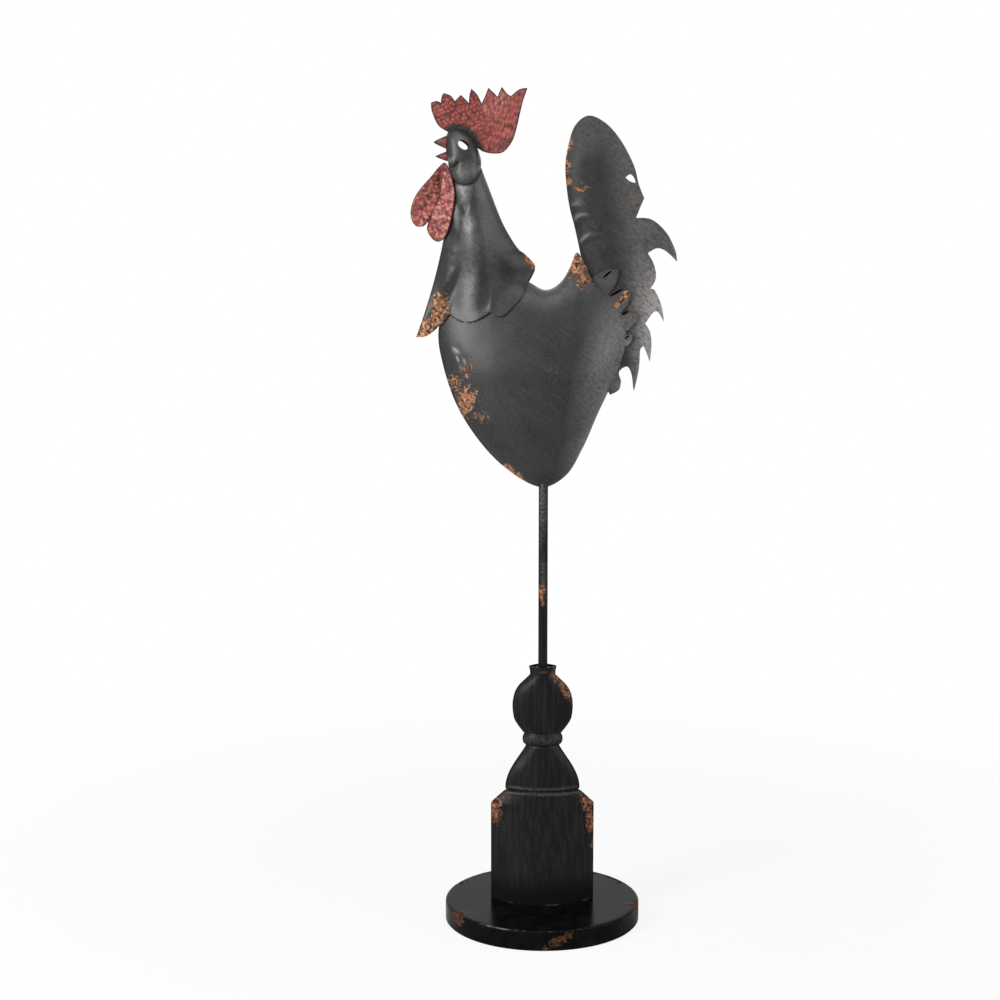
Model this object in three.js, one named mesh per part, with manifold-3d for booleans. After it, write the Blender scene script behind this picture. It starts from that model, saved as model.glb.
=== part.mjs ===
// Rooster statue of pressed and welded sheet steel, standing on a rod above a flattened finial and a
// round base. Millimetres, +Z up. The origin is the centre of the base's underside, the beak points to -X
// and the bird's left side faces -Y. All halves of the bird meet in the plane y = 0.

import * as THREE from 'three';
import { mergeVertices } from 'three/addons/utils/BufferGeometryUtils.js';
import Module from 'manifold-3d';

// Base
const BASE_DIAMETER = 170;
const BASE_THICKNESS = 18;
const BASE_EDGE_ROUND = 2;
const COUNTERBORE_DIAMETER = 32;
const COUNTERBORE_DEPTH = 11;

// Finial: widths across the seams, heights from the bottom up
const BLOCK_WIDTH = 90;
const BLOCK_HEIGHT = 88;
const SHOULDER_HEIGHT = 11.5;
const BELL_WIDTH = 65;
const BELL_HEIGHT = 40.5;
const WAIST_WIDTH = 29;
const BEAD_WIDTH = 35;
const BEAD_HEIGHT = 11.5;
const BALL_WIDTH = 52.4;
const BALL_HEIGHT = 52;
const COLLAR_WIDTH = 22;
const COLLAR_HEIGHT = 7.5;
const COLLAR_FLARE = 0.7;
const GROOVE = 0.8;
const BLOCK_FOOT_HALF_DEPTH = 21;
const BLOCK_TOP_HALF_DEPTH = 10.5;
const THROAT_HALF_DEPTH = 8;
const FINIAL_SHEET = 1;
const CAP_THICKNESS = 2;
const CAP_RECESS = 3;
const WELD_RADIUS = 8;
const WELD_HEIGHT = 4;
const WELD_FLATNESS = 0.75;
const WELD_LIP = 1;

// Rod and what clamps it
const ROD_DIAMETER = 8;
const ROD_SHOWN = 157.5;
const ROD_IN_BODY = 60;
const ROD_END_INSET = 1.5;
const WASHER_DIAMETER = 24;
const WASHER_THICKNESS = 2;
const NUT_ACROSS_FLATS = 13;
const NUT_HEIGHT = 6.5;

// Bird
const SHEET = 1;
const BODY_LENGTH = 157;
const BODY_HEIGHT = 200;
const BODY_HALF_DEPTH = 34;
const NECK_RISE = 97.8;
const NECK_TOP_LENGTH = 24;
const NECK_TOP_LEAN = 54;
const NECK_TOP_HALF_DEPTH = 11.5;
const NECK_BASE_HALF_DEPTH = 27;
const NECK_BACK_BULGE = 4.5;
const CAPE_DROP = 47.7;
const CAPE_OVERHANG = 19;
const HEAD_LENGTH = 30.5;
const HEAD_HEIGHT = 46.5;
const HEAD_HALF_DEPTH = 14.5;
const EYE_LENGTH = 10.5;
const EYE_HEIGHT = 6.5;
const COMB_LENGTH = 80;
const COMB_HEIGHT = 55;
const COMB_SHEET = 1.2;
const COMB_RUFFLE = 2;
const UPPER_BEAK_LENGTH = 11;
const UPPER_BEAK_HEIGHT = 11;
const LOWER_BEAK_LENGTH = 9.5;
const LOWER_BEAK_HEIGHT = 8;
const BEAK_HALF_DEPTH = 3;
const TONGUE = 5;
const WATTLE_LENGTH = 66;
const WATTLE_SPREAD = 9;
const TAIL_REACH = 84;
const TAIL_RISE = 117;
const TAIL_CROWN = 5;
const LEAF_LENGTH = 19;
const LEAF_WIDTH = 17;
const LEAF_LIFT = 3;
const SLOT_WIDTH = 2;

// Fits
const SEAM_GAP = 0.3;
const LAP_GAP = 0.5;
const BORE_GAP = 0.3;

// Exponents that set how full a curved form is: 0.5 is an ellipse, more is slimmer
const BELL_FULLNESS = 1.15;
const BEAD_FULLNESS = 0.5;
const FINIAL_FULLNESS = 0.85;
const BODY_FULLNESS = 0.75;
const REAR_FULLNESS = 1.3;
const NECK_FULLNESS = 0.6;
const CAPE_FULLNESS = 0.8;
const HEAD_FULLNESS = 0.5;
const TAIL_FULLNESS = 1.5;
const NECK_FRONT_SWEEP = 1.8;
const NECK_DEPTH_SWEEP = 1.3;
const WATTLE_SWEEP = 1.6;

// A form's section falls away from its ridge by this power: 2 is round, 1 is a sharp roof
const ROUND_POWER = 2;
const RIDGE_POWER = 1.3;

const wasm = await Module();
wasm.setup();

const mix = (a, b, t) => a + (b - a) * t;

function ramp(t) {
  const clamped = Math.min(1, Math.max(0, t));
  return clamped * clamped * (3 - 2 * clamped);
}

// The larger of two lengths, rounded over where they are alike
const softMax = (a, b) => Math.pow(Math.pow(a, 4) + Math.pow(b, 4), 1 / 4);

// Geometry helpers

function volumeOf(positions, indices) {
  const a = new THREE.Vector3();
  const b = new THREE.Vector3();
  const c = new THREE.Vector3();
  let six = 0;
  for (let i = 0; i < indices.length; i += 3) {
    a.fromArray(positions, 3 * indices[i]);
    b.fromArray(positions, 3 * indices[i + 1]);
    c.fromArray(positions, 3 * indices[i + 2]);
    six += a.dot(b.cross(c));
  }
  return six / 6;
}

// A closed surface as an indexed geometry whose faces point out
function closedGeometry(positions, indices) {
  const faces = indices.slice();
  if (volumeOf(positions, faces) < 0) {
    for (let i = 0; i < faces.length; i += 3) {
      [faces[i], faces[i + 1]] = [faces[i + 1], faces[i]];
    }
  }
  const geometry = new THREE.BufferGeometry();
  geometry.setAttribute('position', new THREE.Float32BufferAttribute(positions, 3));
  geometry.setIndex(faces);
  return geometry;
}

function solid(geometry) {
  const bare = geometry.clone();
  for (const name of Object.keys(bare.attributes)) {
    if (name !== 'position') bare.deleteAttribute(name);
  }
  const merged = mergeVertices(bare, 1e-4);
  const vertProperties = new Float32Array(merged.attributes.position.array);
  const triVerts = new Uint32Array(merged.index.array);
  return new wasm.Manifold(new wasm.Mesh({ numProp: 3, vertProperties, triVerts }));
}

function geometryOf(manifold) {
  const mesh = manifold.getMesh();
  return closedGeometry(Array.from(mesh.vertProperties), Array.from(mesh.triVerts));
}

// Sheet between an outer face (offset 0) and an inner face (offset = thickness), each a grid of points
function sheetPatch(columns, rows, thickness, point) {
  const positions = [];
  const indices = [];
  const across = columns.length;
  const down = rows.length;
  for (const offset of [0, thickness]) {
    for (const v of rows) {
      for (const u of columns) positions.push(...point(u, v, offset));
    }
  }
  const at = (layer, i, j) => layer * across * down + j * across + i;
  const quad = (a, b, c, d) => indices.push(a, b, c, a, c, d);
  for (let j = 0; j < down - 1; j++) {
    for (let i = 0; i < across - 1; i++) {
      quad(at(0, i, j), at(0, i + 1, j), at(0, i + 1, j + 1), at(0, i, j + 1));
      quad(at(1, i, j), at(1, i, j + 1), at(1, i + 1, j + 1), at(1, i + 1, j));
    }
  }
  for (let i = 0; i < across - 1; i++) {
    quad(at(0, i, 0), at(1, i, 0), at(1, i + 1, 0), at(0, i + 1, 0));
    quad(at(0, i, down - 1), at(0, i + 1, down - 1), at(1, i + 1, down - 1), at(1, i, down - 1));
  }
  for (let j = 0; j < down - 1; j++) {
    quad(at(0, 0, j), at(0, 0, j + 1), at(1, 0, j + 1), at(1, 0, j));
    quad(at(0, across - 1, j), at(1, across - 1, j), at(1, across - 1, j + 1), at(0, across - 1, j + 1));
  }
  return closedGeometry(positions, indices);
}

function steps(from, to, count) {
  return Array.from({ length: count + 1 }, (unused, i) => mix(from, to, i / count));
}

// Points along an open curve through the given places
function smoothCurve(places, count) {
  return new THREE.SplineCurve(places.map(([x, z]) => new THREE.Vector2(x, z))).getPoints(count);
}

// Closed curve through points, sampled with the same number of steps between any two of them
function closedOutline(points, stepsBetween) {
  const curve = new THREE.CatmullRomCurve3(points.map(([x, z]) => new THREE.Vector3(x, 0, z)), true);
  const count = points.length * stepsBetween;
  return Array.from({ length: count }, (unused, i) => {
    const p = curve.getPoint(i / count);
    return [p.x, p.z];
  });
}

// Outline from runs of points: each run is a smooth curve, and the runs meet in corners
function corneredOutline(runs, stepsBetween) {
  const outline = [];
  runs.forEach((run, k) => {
    const next = runs[(k + 1) % runs.length];
    const through = [...run, next[0]].map(([x, z]) => new THREE.Vector2(x, z));
    const count = Math.max(1, (through.length - 1) * stepsBetween);
    const curve = new THREE.SplineCurve(through);
    const samples = through.length === 2 ? 1 : count;
    for (let i = 0; i < samples; i++) {
      const p = curve.getPoint(i / samples);
      outline.push([p.x, p.y]);
    }
  });
  return outline;
}

// Outline moved outwards by a clearance
function grown(outline, distance) {
  const turn = THREE.ShapeUtils.isClockWise(outline.map(([x, z]) => new THREE.Vector2(x, z))) ? -1 : 1;
  return outline.map(([x, z], i) => {
    const [px, pz] = outline[(i + outline.length - 1) % outline.length];
    const [nx, nz] = outline[(i + 1) % outline.length];
    const before = new THREE.Vector2(z - pz, px - x).normalize();
    const after = new THREE.Vector2(nz - z, x - nx).normalize();
    const out = before.add(after).normalize().multiplyScalar(turn * distance);
    return [x + out.x, z + out.y];
  });
}

// Prism of an outline in the x-z plane between two values of y
function prism(outline, yLow, yHigh) {
  const shape = new THREE.Shape(outline.map(([x, z]) => new THREE.Vector2(x, z)));
  const geometry = new THREE.ExtrudeGeometry(shape, { depth: yHigh - yLow, bevelEnabled: false });
  geometry.rotateX(Math.PI / 2);
  geometry.translate(0, yHigh, 0);
  return solid(geometry);
}

// Solid less holes cut straight through it
const CUT_REACH = 2 * BODY_HALF_DEPTH;
function pierced(body, holes) {
  return holes.reduce((rest, hole) => rest.subtract(prism(hole, -CUT_REACH, CUT_REACH)), body);
}

// Blank between the surfaces y = low(x, z) and y = high(x, z), trimmed to an outline
function trimmed({ outline, holes = [], low, high, cells }) {
  const xs = outline.map(([x]) => x);
  const zs = outline.map(([, z]) => z);
  const margin = 0.02 * (Math.max(...xs) - Math.min(...xs));
  const columns = steps(Math.min(...xs) - margin, Math.max(...xs) + margin, cells[0]);
  const rows = steps(Math.min(...zs) - margin, Math.max(...zs) + margin, cells[1]);
  const blank = sheetPatch(columns, rows, 1, (x, z, layer) => [x, layer ? low(x, z) : high(x, z), z]);
  const sheet = solid(blank).intersect(prism(outline, -CUT_REACH, CUT_REACH));
  return pierced(sheet, holes);
}

// Sheet pressed over a form whose distance from the mid plane is face(x, z), on the given side of it
function pressed({ side, thickness, face, ...rest }) {
  const near = (x, z) => side * face(x, z);
  const far = (x, z) => side * (face(x, z) + thickness);
  return trimmed({ low: side > 0 ? near : far, high: side > 0 ? far : near, ...rest });
}

// Dished half shell: rings run from the rim, which lies at rim(x, z, i), to the crown over the centre. The
// rim ring follows the outline and the rings nearer the crown grow rounder. Its fullness may vary around
// the outline.
function dishForm({ outline, centre, halfDepth, fullness, rim }) {
  const count = outline.length;
  const radii = outline.map(([x, z]) => Math.hypot(x - centre[0], z - centre[1]));
  const near = Math.round(count / 7);
  const polar = outline.map(([x, z], i) => {
    const window = steps(i - near, i + near, 2 * near).map((k) => radii[(k + count) % count]);
    const round = window.reduce((sum, radius) => sum + radius, 0) / window.length;
    const angle = Math.atan2(z - centre[1], x - centre[0]);
    return { angle, radius: radii[i], round, rim: rim(x, z, i), fullness: fullness(i) };
  });
  const swell = (edge, s) => Math.pow(Math.max(0, 1 - s * s), edge.fullness);
  const reach = (edge, s) => s * mix(edge.round, edge.radius, s * s);
  const sorted = polar.slice().sort((a, b) => a.angle - b.angle);
  const edgeAt = (angle) => {
    let high = sorted.findIndex((p) => p.angle >= angle);
    if (high < 0) high = 0;
    const before = sorted[(high + sorted.length - 1) % sorted.length];
    const after = sorted[high];
    const full = 2 * Math.PI;
    const span = (((after.angle - before.angle) % full) + full) % full;
    const part = (((angle - before.angle) % full) + full) % full;
    const t = span > 0 ? part / span : 0;
    return {
      radius: mix(before.radius, after.radius, t),
      round: mix(before.round, after.round, t),
      rim: mix(before.rim, after.rim, t),
      fullness: mix(before.fullness, after.fullness, t),
    };
  };
  const depthAt = (x, z) => {
    const distance = Math.hypot(x - centre[0], z - centre[1]);
    const edge = edgeAt(Math.atan2(z - centre[1], x - centre[0]));
    if (distance >= edge.radius) return 0;
    let [low, high] = [0, 1];
    for (let halving = 0; halving < 20; halving++) {
      const middle = (low + high) / 2;
      if (reach(edge, middle) < distance) low = middle;
      else high = middle;
    }
    return edge.rim + (halfDepth - edge.rim) * swell(edge, low);
  };
  const shell = (side, thickness, rings) => {
    const positions = [];
    const indices = [];
    for (const offset of [0, thickness]) {
      for (const s of rings) {
        for (const p of polar) {
          const radius = reach(p, s) - offset * s;
          const y = p.rim + (halfDepth - offset - p.rim) * swell(p, s);
          const x = centre[0] + radius * Math.cos(p.angle);
          const z = centre[1] + radius * Math.sin(p.angle);
          positions.push(x, side * y, z);
        }
      }
      positions.push(centre[0], side * (halfDepth - offset), centre[1]);
    }
    const around = polar.length;
    const layer = rings.length * around + 1;
    const at = (k, ring, i) => k * layer + ring * around + (i % around);
    for (let i = 0; i < around; i++) {
      for (let ring = 0; ring < rings.length - 1; ring++) {
        indices.push(at(0, ring, i), at(0, ring, i + 1), at(0, ring + 1, i + 1));
        indices.push(at(0, ring, i), at(0, ring + 1, i + 1), at(0, ring + 1, i));
        indices.push(at(1, ring, i), at(1, ring + 1, i + 1), at(1, ring, i + 1));
        indices.push(at(1, ring, i), at(1, ring + 1, i), at(1, ring + 1, i + 1));
      }
      const last = rings.length - 1;
      indices.push(at(0, last, i), at(0, last, i + 1), layer - 1);
      indices.push(at(1, last, i + 1), at(1, last, i), 2 * layer - 1);
      indices.push(at(0, 0, i), at(1, 0, i), at(1, 0, i + 1));
      indices.push(at(0, 0, i), at(1, 0, i + 1), at(0, 0, i + 1));
    }
    return solid(closedGeometry(positions, indices));
  };
  return { depthAt, shell };
}

// Solid through closed rings of points
function loft(rings) {
  const count = rings[0].length;
  const positions = rings.flat(2);
  const indices = [];
  for (let k = 0; k < rings.length - 1; k++) {
    for (let i = 0; i < count; i++) {
      const j = (i + 1) % count;
      indices.push(k * count + i, k * count + j, (k + 1) * count + j);
      indices.push(k * count + i, (k + 1) * count + j, (k + 1) * count + i);
    }
  }
  const last = (rings.length - 1) * count;
  for (let i = 1; i < count - 1; i++) {
    indices.push(0, i + 1, i);
    indices.push(last, last + i, last + i + 1);
  }
  return solid(closedGeometry(positions, indices));
}

function cylinder(radius, low, high, sides = 32) {
  const geometry = new THREE.CylinderGeometry(radius, radius, high - low, sides);
  geometry.rotateX(Math.PI / 2);
  geometry.translate(0, 0, (low + high) / 2);
  return geometry;
}

function revolved(profile, sides) {
  const geometry = new THREE.LatheGeometry(profile.map(([r, z]) => new THREE.Vector2(r, z)), sides);
  geometry.rotateX(Math.PI / 2);
  return geometryOf(solid(geometry));
}

// Paints and metals
const paint = (color, roughness = 0.45, metalness = 0.2) => ({ color, roughness, metalness });
const BLACK = paint(0x3a3b3d);
const STAND_BLACK = paint(0x262626, 0.55);
const RED = paint(0xa5483f, 0.4);
const BOARD = paint(0x1f1e1d, 0.6, 0);
const STEEL = paint(0x8f9296, 0.4, 0.9);

const statue = new THREE.Group();

function add(name, geometry, finish) {
  const mesh = new THREE.Mesh(geometry, new THREE.MeshStandardMaterial(finish));
  mesh.name = name;
  statue.add(mesh);
}

// Heights up the stand
const rodRadius = ROD_DIAMETER / 2;
const boreRadius = rodRadius + BORE_GAP;
const blockTop = BASE_THICKNESS + BLOCK_HEIGHT;
const bellBottom = blockTop + SHOULDER_HEIGHT;
const beadBottom = bellBottom + BELL_HEIGHT;
const ballBottom = beadBottom + BEAD_HEIGHT;
const collarBottom = ballBottom + BALL_HEIGHT;
const finialTop = collarBottom + COLLAR_HEIGHT;
const bodyBottom = finialTop + ROD_SHOWN;

// Base: a round board with its edges eased, bored for the rod and counterbored for the nut
{
  const radius = BASE_DIAMETER / 2;
  const boreRoom = COUNTERBORE_DIAMETER / 2;
  const profile = [[boreRadius, BASE_THICKNESS], [boreRadius, COUNTERBORE_DEPTH]];
  profile.push([boreRoom, COUNTERBORE_DEPTH], [boreRoom, 0]);
  profile.push([radius - BASE_EDGE_ROUND / 2, 0], [radius, BASE_EDGE_ROUND / 2]);
  for (const angle of steps(0, Math.PI / 2, 2)) {
    profile.push([
      radius - BASE_EDGE_ROUND + BASE_EDGE_ROUND * Math.cos(angle),
      BASE_THICKNESS - BASE_EDGE_ROUND + BASE_EDGE_ROUND * Math.sin(angle),
    ]);
  }
  profile.push(profile[0]);
  add('base_disc', revolved(profile, 40), BOARD);
}

// Finial: half width at each height
const finialRows = [];
finialRows.push([BASE_THICKNESS, BLOCK_WIDTH / 2], [blockTop, BLOCK_WIDTH / 2]);
finialRows.push([bellBottom - GROOVE, BELL_WIDTH / 2 + GROOVE], [bellBottom, BELL_WIDTH / 2 - GROOVE]);
for (const f of steps(0, 1, 5)) {
  const swell = Math.pow(Math.sin(((1 - f) * Math.PI) / 2), BELL_FULLNESS);
  finialRows.push([mix(bellBottom + 2 * GROOVE, beadBottom, f), mix(WAIST_WIDTH, BELL_WIDTH, swell) / 2]);
}
for (const f of steps(0.2, 0.85, 3)) {
  const bulge = Math.pow(Math.sin(f * Math.PI), BEAD_FULLNESS);
  finialRows.push([beadBottom + f * BEAD_HEIGHT, mix(WAIST_WIDTH, BEAD_WIDTH, bulge) / 2]);
}
const ballProfile = new THREE.SplineCurve([
  [0, 0.64], [0.12, 0.82], [0.24, 0.95], [0.42, 1], [0.55, 0.99], [0.7, 0.92], [0.82, 0.78], [0.92, 0.58],
].map(([h, w]) => new THREE.Vector2(ballBottom + h * BALL_HEIGHT, (w * BALL_WIDTH) / 2)));
for (const t of steps(0, 1, 7)) {
  const p = ballProfile.getPoint(t);
  finialRows.push([p.x, p.y]);
}
finialRows.push([collarBottom, COLLAR_WIDTH / 2], [finialTop, COLLAR_WIDTH / 2 + COLLAR_FLARE]);

// Section: a lens with its seams at both sides, as deep at the throat as the rod needs, deeper with its
// width up to the top of the block, and from there deeper down to the foot
const lensColumns = steps(0, Math.PI, 10).map((angle) => -Math.cos(angle));
const lensPoint = (u, z, halfWidth, inset) => {
  const wider = Math.max(0, (2 * halfWidth - WAIST_WIDTH) / (BLOCK_WIDTH - WAIST_WIDTH));
  const lower = Math.max(0, (blockTop - z) / BLOCK_HEIGHT);
  const deepened = lower * (BLOCK_FOOT_HALF_DEPTH - BLOCK_TOP_HALF_DEPTH);
  const halfDepth = mix(THROAT_HALF_DEPTH, BLOCK_TOP_HALF_DEPTH, wider) + deepened - inset;
  return [(halfWidth - inset) * u, halfDepth * Math.pow(Math.max(0, 1 - u * u), FINIAL_FULLNESS)];
};
const finialPoint = (side) => (u, [z, halfWidth], offset) => {
  const [x, y] = lensPoint(u, z, halfWidth, offset);
  return [x, side * y, z];
};
add('finial_front', sheetPatch(lensColumns, finialRows, FINIAL_SHEET, finialPoint(-1)), STAND_BLACK);
add('finial_back', sheetPatch(lensColumns, finialRows, FINIAL_SHEET, finialPoint(1)), STAND_BLACK);

// Cap: the lens-shaped plate that closes the collar, with the weld round the rod's foot
{
  const top = finialTop - CAP_RECESS;
  const lens = lensColumns.map((u) => lensPoint(u, top, COLLAR_WIDTH / 2, FINIAL_SHEET + BORE_GAP));
  const shape = new THREE.Shape();
  lens.forEach(([x, y], i) => (i ? shape.lineTo(x, y) : shape.moveTo(x, y)));
  lens.slice(1, -1).reverse().forEach(([x, y]) => shape.lineTo(x, -y));
  const plate = new THREE.ExtrudeGeometry(shape, { depth: CAP_THICKNESS, bevelEnabled: false });
  plate.translate(0, 0, top - CAP_THICKNESS);
  const weld = new THREE.CylinderGeometry(boreRadius + WELD_LIP, WELD_RADIUS, WELD_HEIGHT, 24);
  weld.rotateX(Math.PI / 2);
  weld.scale(1, WELD_FLATNESS, 1);
  weld.translate(0, 0, top + WELD_HEIGHT / 2 - CAP_THICKNESS / 4);
  const bore = solid(cylinder(boreRadius, collarBottom, finialTop + WELD_HEIGHT, 24));
  add('finial_cap', geometryOf(solid(plate).add(solid(weld)).subtract(bore)), STAND_BLACK);
}

// Rod, with the nut and washer that clamp the stand from below
{
  const shaft = cylinder(rodRadius, ROD_END_INSET, bodyBottom + ROD_IN_BODY, 24);
  add('support_rod', geometryOf(solid(shaft)), STAND_BLACK);

  const washerTop = COUNTERBORE_DEPTH;
  const washerBottom = washerTop - WASHER_THICKNESS;
  const washer = [[boreRadius, washerTop], [boreRadius, washerBottom]];
  washer.push([WASHER_DIAMETER / 2, washerBottom], [WASHER_DIAMETER / 2, washerTop], washer[0]);
  add('rod_washer', revolved(washer, 20), STEEL);

  const nutRadius = NUT_ACROSS_FLATS / Math.sqrt(3);
  const nut = solid(cylinder(nutRadius, washerBottom - NUT_HEIGHT, washerBottom, 6));
  add('rod_nut', geometryOf(nut.subtract(solid(cylinder(boreRadius, 0, COUNTERBORE_DEPTH, 24)))), STEEL);
}

// Bird: places on the body in shares of its length and height, x from the rod, z from the belly
const onBody = ([fx, fz]) => [fx * BODY_LENGTH, bodyBottom + fz * BODY_HEIGHT];
const BREAST_PLACE = [-0.567, 0.68];
const APEX_PLACE = [0.175, 1.004];
const TAIL_FOOT_PLACE = [0.288, 0.308];
const BODY_OUTLINE = [
  [-0.006, 0], [-0.232, 0.101], [-0.443, 0.313], [-0.54, 0.515], BREAST_PLACE, [-0.484, 0.85],
  [-0.287, 0.93], [-0.089, 0.883], [0.01, 0.845], [0.085, 0.876], [0.138, 0.94], APEX_PLACE,
  [0.218, 0.96], [0.267, 0.897], [0.357, 0.82], [0.427, 0.73], [0.435, 0.61], [0.363, 0.445],
  TAIL_FOOT_PLACE, [0.213, 0.17], [0.121, 0.05],
];
const outlineSteps = 2;
const bodyOutline = closedOutline(BODY_OUTLINE.map(onBody), outlineSteps);
const bodyCentre = onBody([0.064, 0.47]);
const breast = onBody(BREAST_PLACE);
const tailSeat = onBody([0.175, 0.99]);
const notch = onBody([-0.076, 0.886]);

// Tail: places in shares of its reach behind and its rise above its seat just below the body's apex; below
// the seat, in shares of the body's height
const onTail = ([fx, fz]) => {
  const unit = fz > 0 ? TAIL_RISE : BODY_HEIGHT;
  return [tailSeat[0] + fx * TAIL_REACH, tailSeat[1] + fz * unit];
};
const TAIL_OUTLINE = [
  [[0.22, -0.498], [0.125, -0.32], [0.09, -0.17], [0.05, -0.026], [-0.012, 0.173], [-0.083, 0.38],
    [-0.119, 0.615], [-0.095, 0.771], [-0.027, 0.926], [0.11, 1], [0.28, 0.947], [0.43, 0.827],
    [0.562, 0.65], [0.613, 0.515]],
  [[0.669, 0.415], [0.625, 0.34]],
  [[0.587, 0.273], [0.746, 0.262], [0.898, 0.165], [0.985, 0.04]],
  [[1.005, -0.024], [0.89, 0.036], [0.8, 0.056]],
  [[0.711, 0.021], [0.776, -0.038], [0.793, -0.095]],
  [[0.735, -0.14], [0.785, -0.146], [0.85, -0.205]],
  [[0.883, -0.28], [0.796, -0.232]],
  [[0.688, -0.284], [0.742, -0.322], [0.756, -0.377]],
  [[0.742, -0.446], [0.68, -0.382]],
  [[0.64, -0.394], [0.63, -0.475]],
  [[0.583, -0.57], [0.562, -0.505], [0.511, -0.465], [0.43, -0.488]],
  [[0.451, -0.527], [0.43, -0.565]],
  [[0.342, -0.587]],
];
const TAIL_HOLE = [[[0.478, 0.562], [0.525, 0.586], [0.566, 0.56]], [[0.583, 0.522], [0.53, 0.532]]];
const tailOutline = corneredOutline(TAIL_OUTLINE.map((run) => run.map(onTail)), 2);
const tailHole = corneredOutline(TAIL_HOLE.map((run) => run.map(onTail)), 2);
const TAIL_SPINE = [[0.5, -0.43], [0.45, -0.1], [0.34, 0.12], [0.26, 0.45], [0.14, 1]];
const TAIL_CROWN_SHARE = 0.34;
const tailSpine = smoothCurve(TAIL_SPINE.map(onTail), 24);

// x of a curve that climbs steadily in z, held at its end points beyond them
function curveAt(points, z) {
  const k = points.findIndex((p) => p.y >= z);
  if (k < 0) return points[points.length - 1].x;
  if (k === 0) return points[0].x;
  return mix(points[k - 1].x, points[k].x, (z - points[k - 1].y) / (points[k].y - points[k - 1].y));
}

// Distance of each tail sheet's inner face from the mid plane: a crown along its spine, whose half width is
// a share of the tail's reach
function tailFace(x, z) {
  const across = (x - curveAt(tailSpine, z)) / (TAIL_CROWN_SHARE * TAIL_REACH);
  const below = ramp((onTail([0, 1])[1] - z) / (0.4 * TAIL_RISE));
  return TAIL_CROWN * Math.pow(Math.max(0, 1 - across * across), TAIL_FULLNESS) * below;
}

// Leaf feathers along the body's rear edge: the middle of the root in shares of the body's length and
// height, and the size in shares of a leaf's length and width. Each has a slot by its upper edge: its middle
// along and across the leaf in shares of the leaf's length and half width, its turn from the leaf and its
// size in shares of the leaf's length.
const LEAVES = [
  { at: [0.299, 0.865], angle: 45, scale: [1.1, 1.1], slot: { at: [0.55, 0.32], turn: -2, scale: 0.5 } },
  { at: [0.38, 0.785], angle: 43, scale: [0.95, 0.88], slot: { at: [0.45, 0.955], turn: -13, scale: 0.7 } },
  { at: [0.42, 0.705], angle: 34, scale: [0.9, 0.76], slot: { at: [0.43, 1.02], turn: -5, scale: 0.45 } },
  { at: [0.434, 0.634], angle: 40, scale: [0.4, 0.5], slot: { at: [0.4, 0.38], turn: 2, scale: 0.85 } },
];
const SLOT_SHAPE = [[-0.5, 0], [0.1, 0.5], [0.5, 0], [-0.1, -0.5]];

// Turns a place along and across a direction from a point into x and z
function turned([x, z], angle, along, across) {
  const turn = THREE.MathUtils.degToRad(angle);
  const [c, s] = [Math.cos(turn), Math.sin(turn)];
  return [x + along * c - across * s, z + along * s + across * c];
}
const slotOutlines = LEAVES.map(({ at, angle, scale: [lengthwise, crosswise], slot }) => {
  const length = lengthwise * LEAF_LENGTH;
  const middle = turned(onBody(at), angle, slot.at[0] * length, (slot.at[1] * crosswise * LEAF_WIDTH) / 2);
  return SLOT_SHAPE.map(([a, b]) => {
    return turned(middle, angle + slot.turn, a * slot.scale * length, b * SLOT_WIDTH);
  });
});
const tailCells = [8, 13];
for (const side of [-1, 1]) {
  const sheet = pressed({
    outline: tailOutline,
    holes: [tailHole, ...slotOutlines],
    side,
    thickness: SHEET,
    face: tailFace,
    cells: tailCells,
  });
  add(side < 0 ? 'tail_left' : 'tail_right', geometryOf(sheet), BLACK);
}
const tailRoom = trimmed({
  outline: grown(tailOutline, SEAM_GAP),
  low: (x, z) => -tailFace(x, z) - SHEET - SEAM_GAP,
  high: (x, z) => tailFace(x, z) + SHEET + SEAM_GAP,
  cells: tailCells,
});

// Body: two dished halves; their rear edges carry the leaf feathers and run out flat onto the tail
const REAR_PLACES = [13, 14.5, 17, 18.5];
const bodyForm = dishForm({
  outline: bodyOutline,
  centre: bodyCentre,
  halfDepth: BODY_HALF_DEPTH,
  fullness: (i) => {
    const [start, full, fade, end] = REAR_PLACES;
    const place = i / outlineSteps;
    const rear = ramp((place - start) / (full - start)) * ramp((end - place) / (end - fade));
    return mix(BODY_FULLNESS, REAR_FULLNESS, rear);
  },
  rim: (x, z, i) => {
    const afterApex = i / outlineSteps - BODY_OUTLINE.indexOf(APEX_PLACE);
    const beforeFoot = BODY_OUTLINE.indexOf(TAIL_FOOT_PLACE) - i / outlineSteps;
    return (tailFace(x, z) + SHEET + SEAM_GAP) * ramp(afterApex) * ramp(beforeFoot);
  },
});
function leafFeather({ at, angle, scale: [lengthwise, crosswise] }, side) {
  const root = onBody(at);
  const length = lengthwise * LEAF_LENGTH;
  const width = crosswise * LEAF_WIDTH;
  const rootShare = 0.25;
  const blunt = 0.1;
  const point = (b, a, offset) => {
    const out = Math.max(0, a);
    const taper = Math.pow(1 - Math.pow(out, 2.2), 0.8);
    const [x, z] = turned(root, angle, a * length, (b * width * Math.max(blunt, taper)) / 2);
    const lift = LEAF_LIFT * out * out;
    return [x, side * (tailFace(x, z) + SHEET + LAP_GAP + lift + SHEET - offset), z];
  };
  return solid(sheetPatch(steps(-1, 1, 2), steps(-rootShare, 1, 5), SHEET, point));
}
const rodBore = solid(cylinder(boreRadius, finialTop, bodyBottom + ROD_IN_BODY, 24));
for (const side of [-1, 1]) {
  let half = bodyForm.shell(side, SHEET, [1, 0.96, 0.88, 0.75, 0.57, 0.34]);
  half = half.subtract(tailRoom).subtract(rodBore);
  for (const leaf of LEAVES) half = half.add(leafFeather(leaf, side));
  half = pierced(half, slotOutlines);
  add(side < 0 ? 'body_left' : 'body_right', geometryOf(half), BLACK);
}

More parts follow.
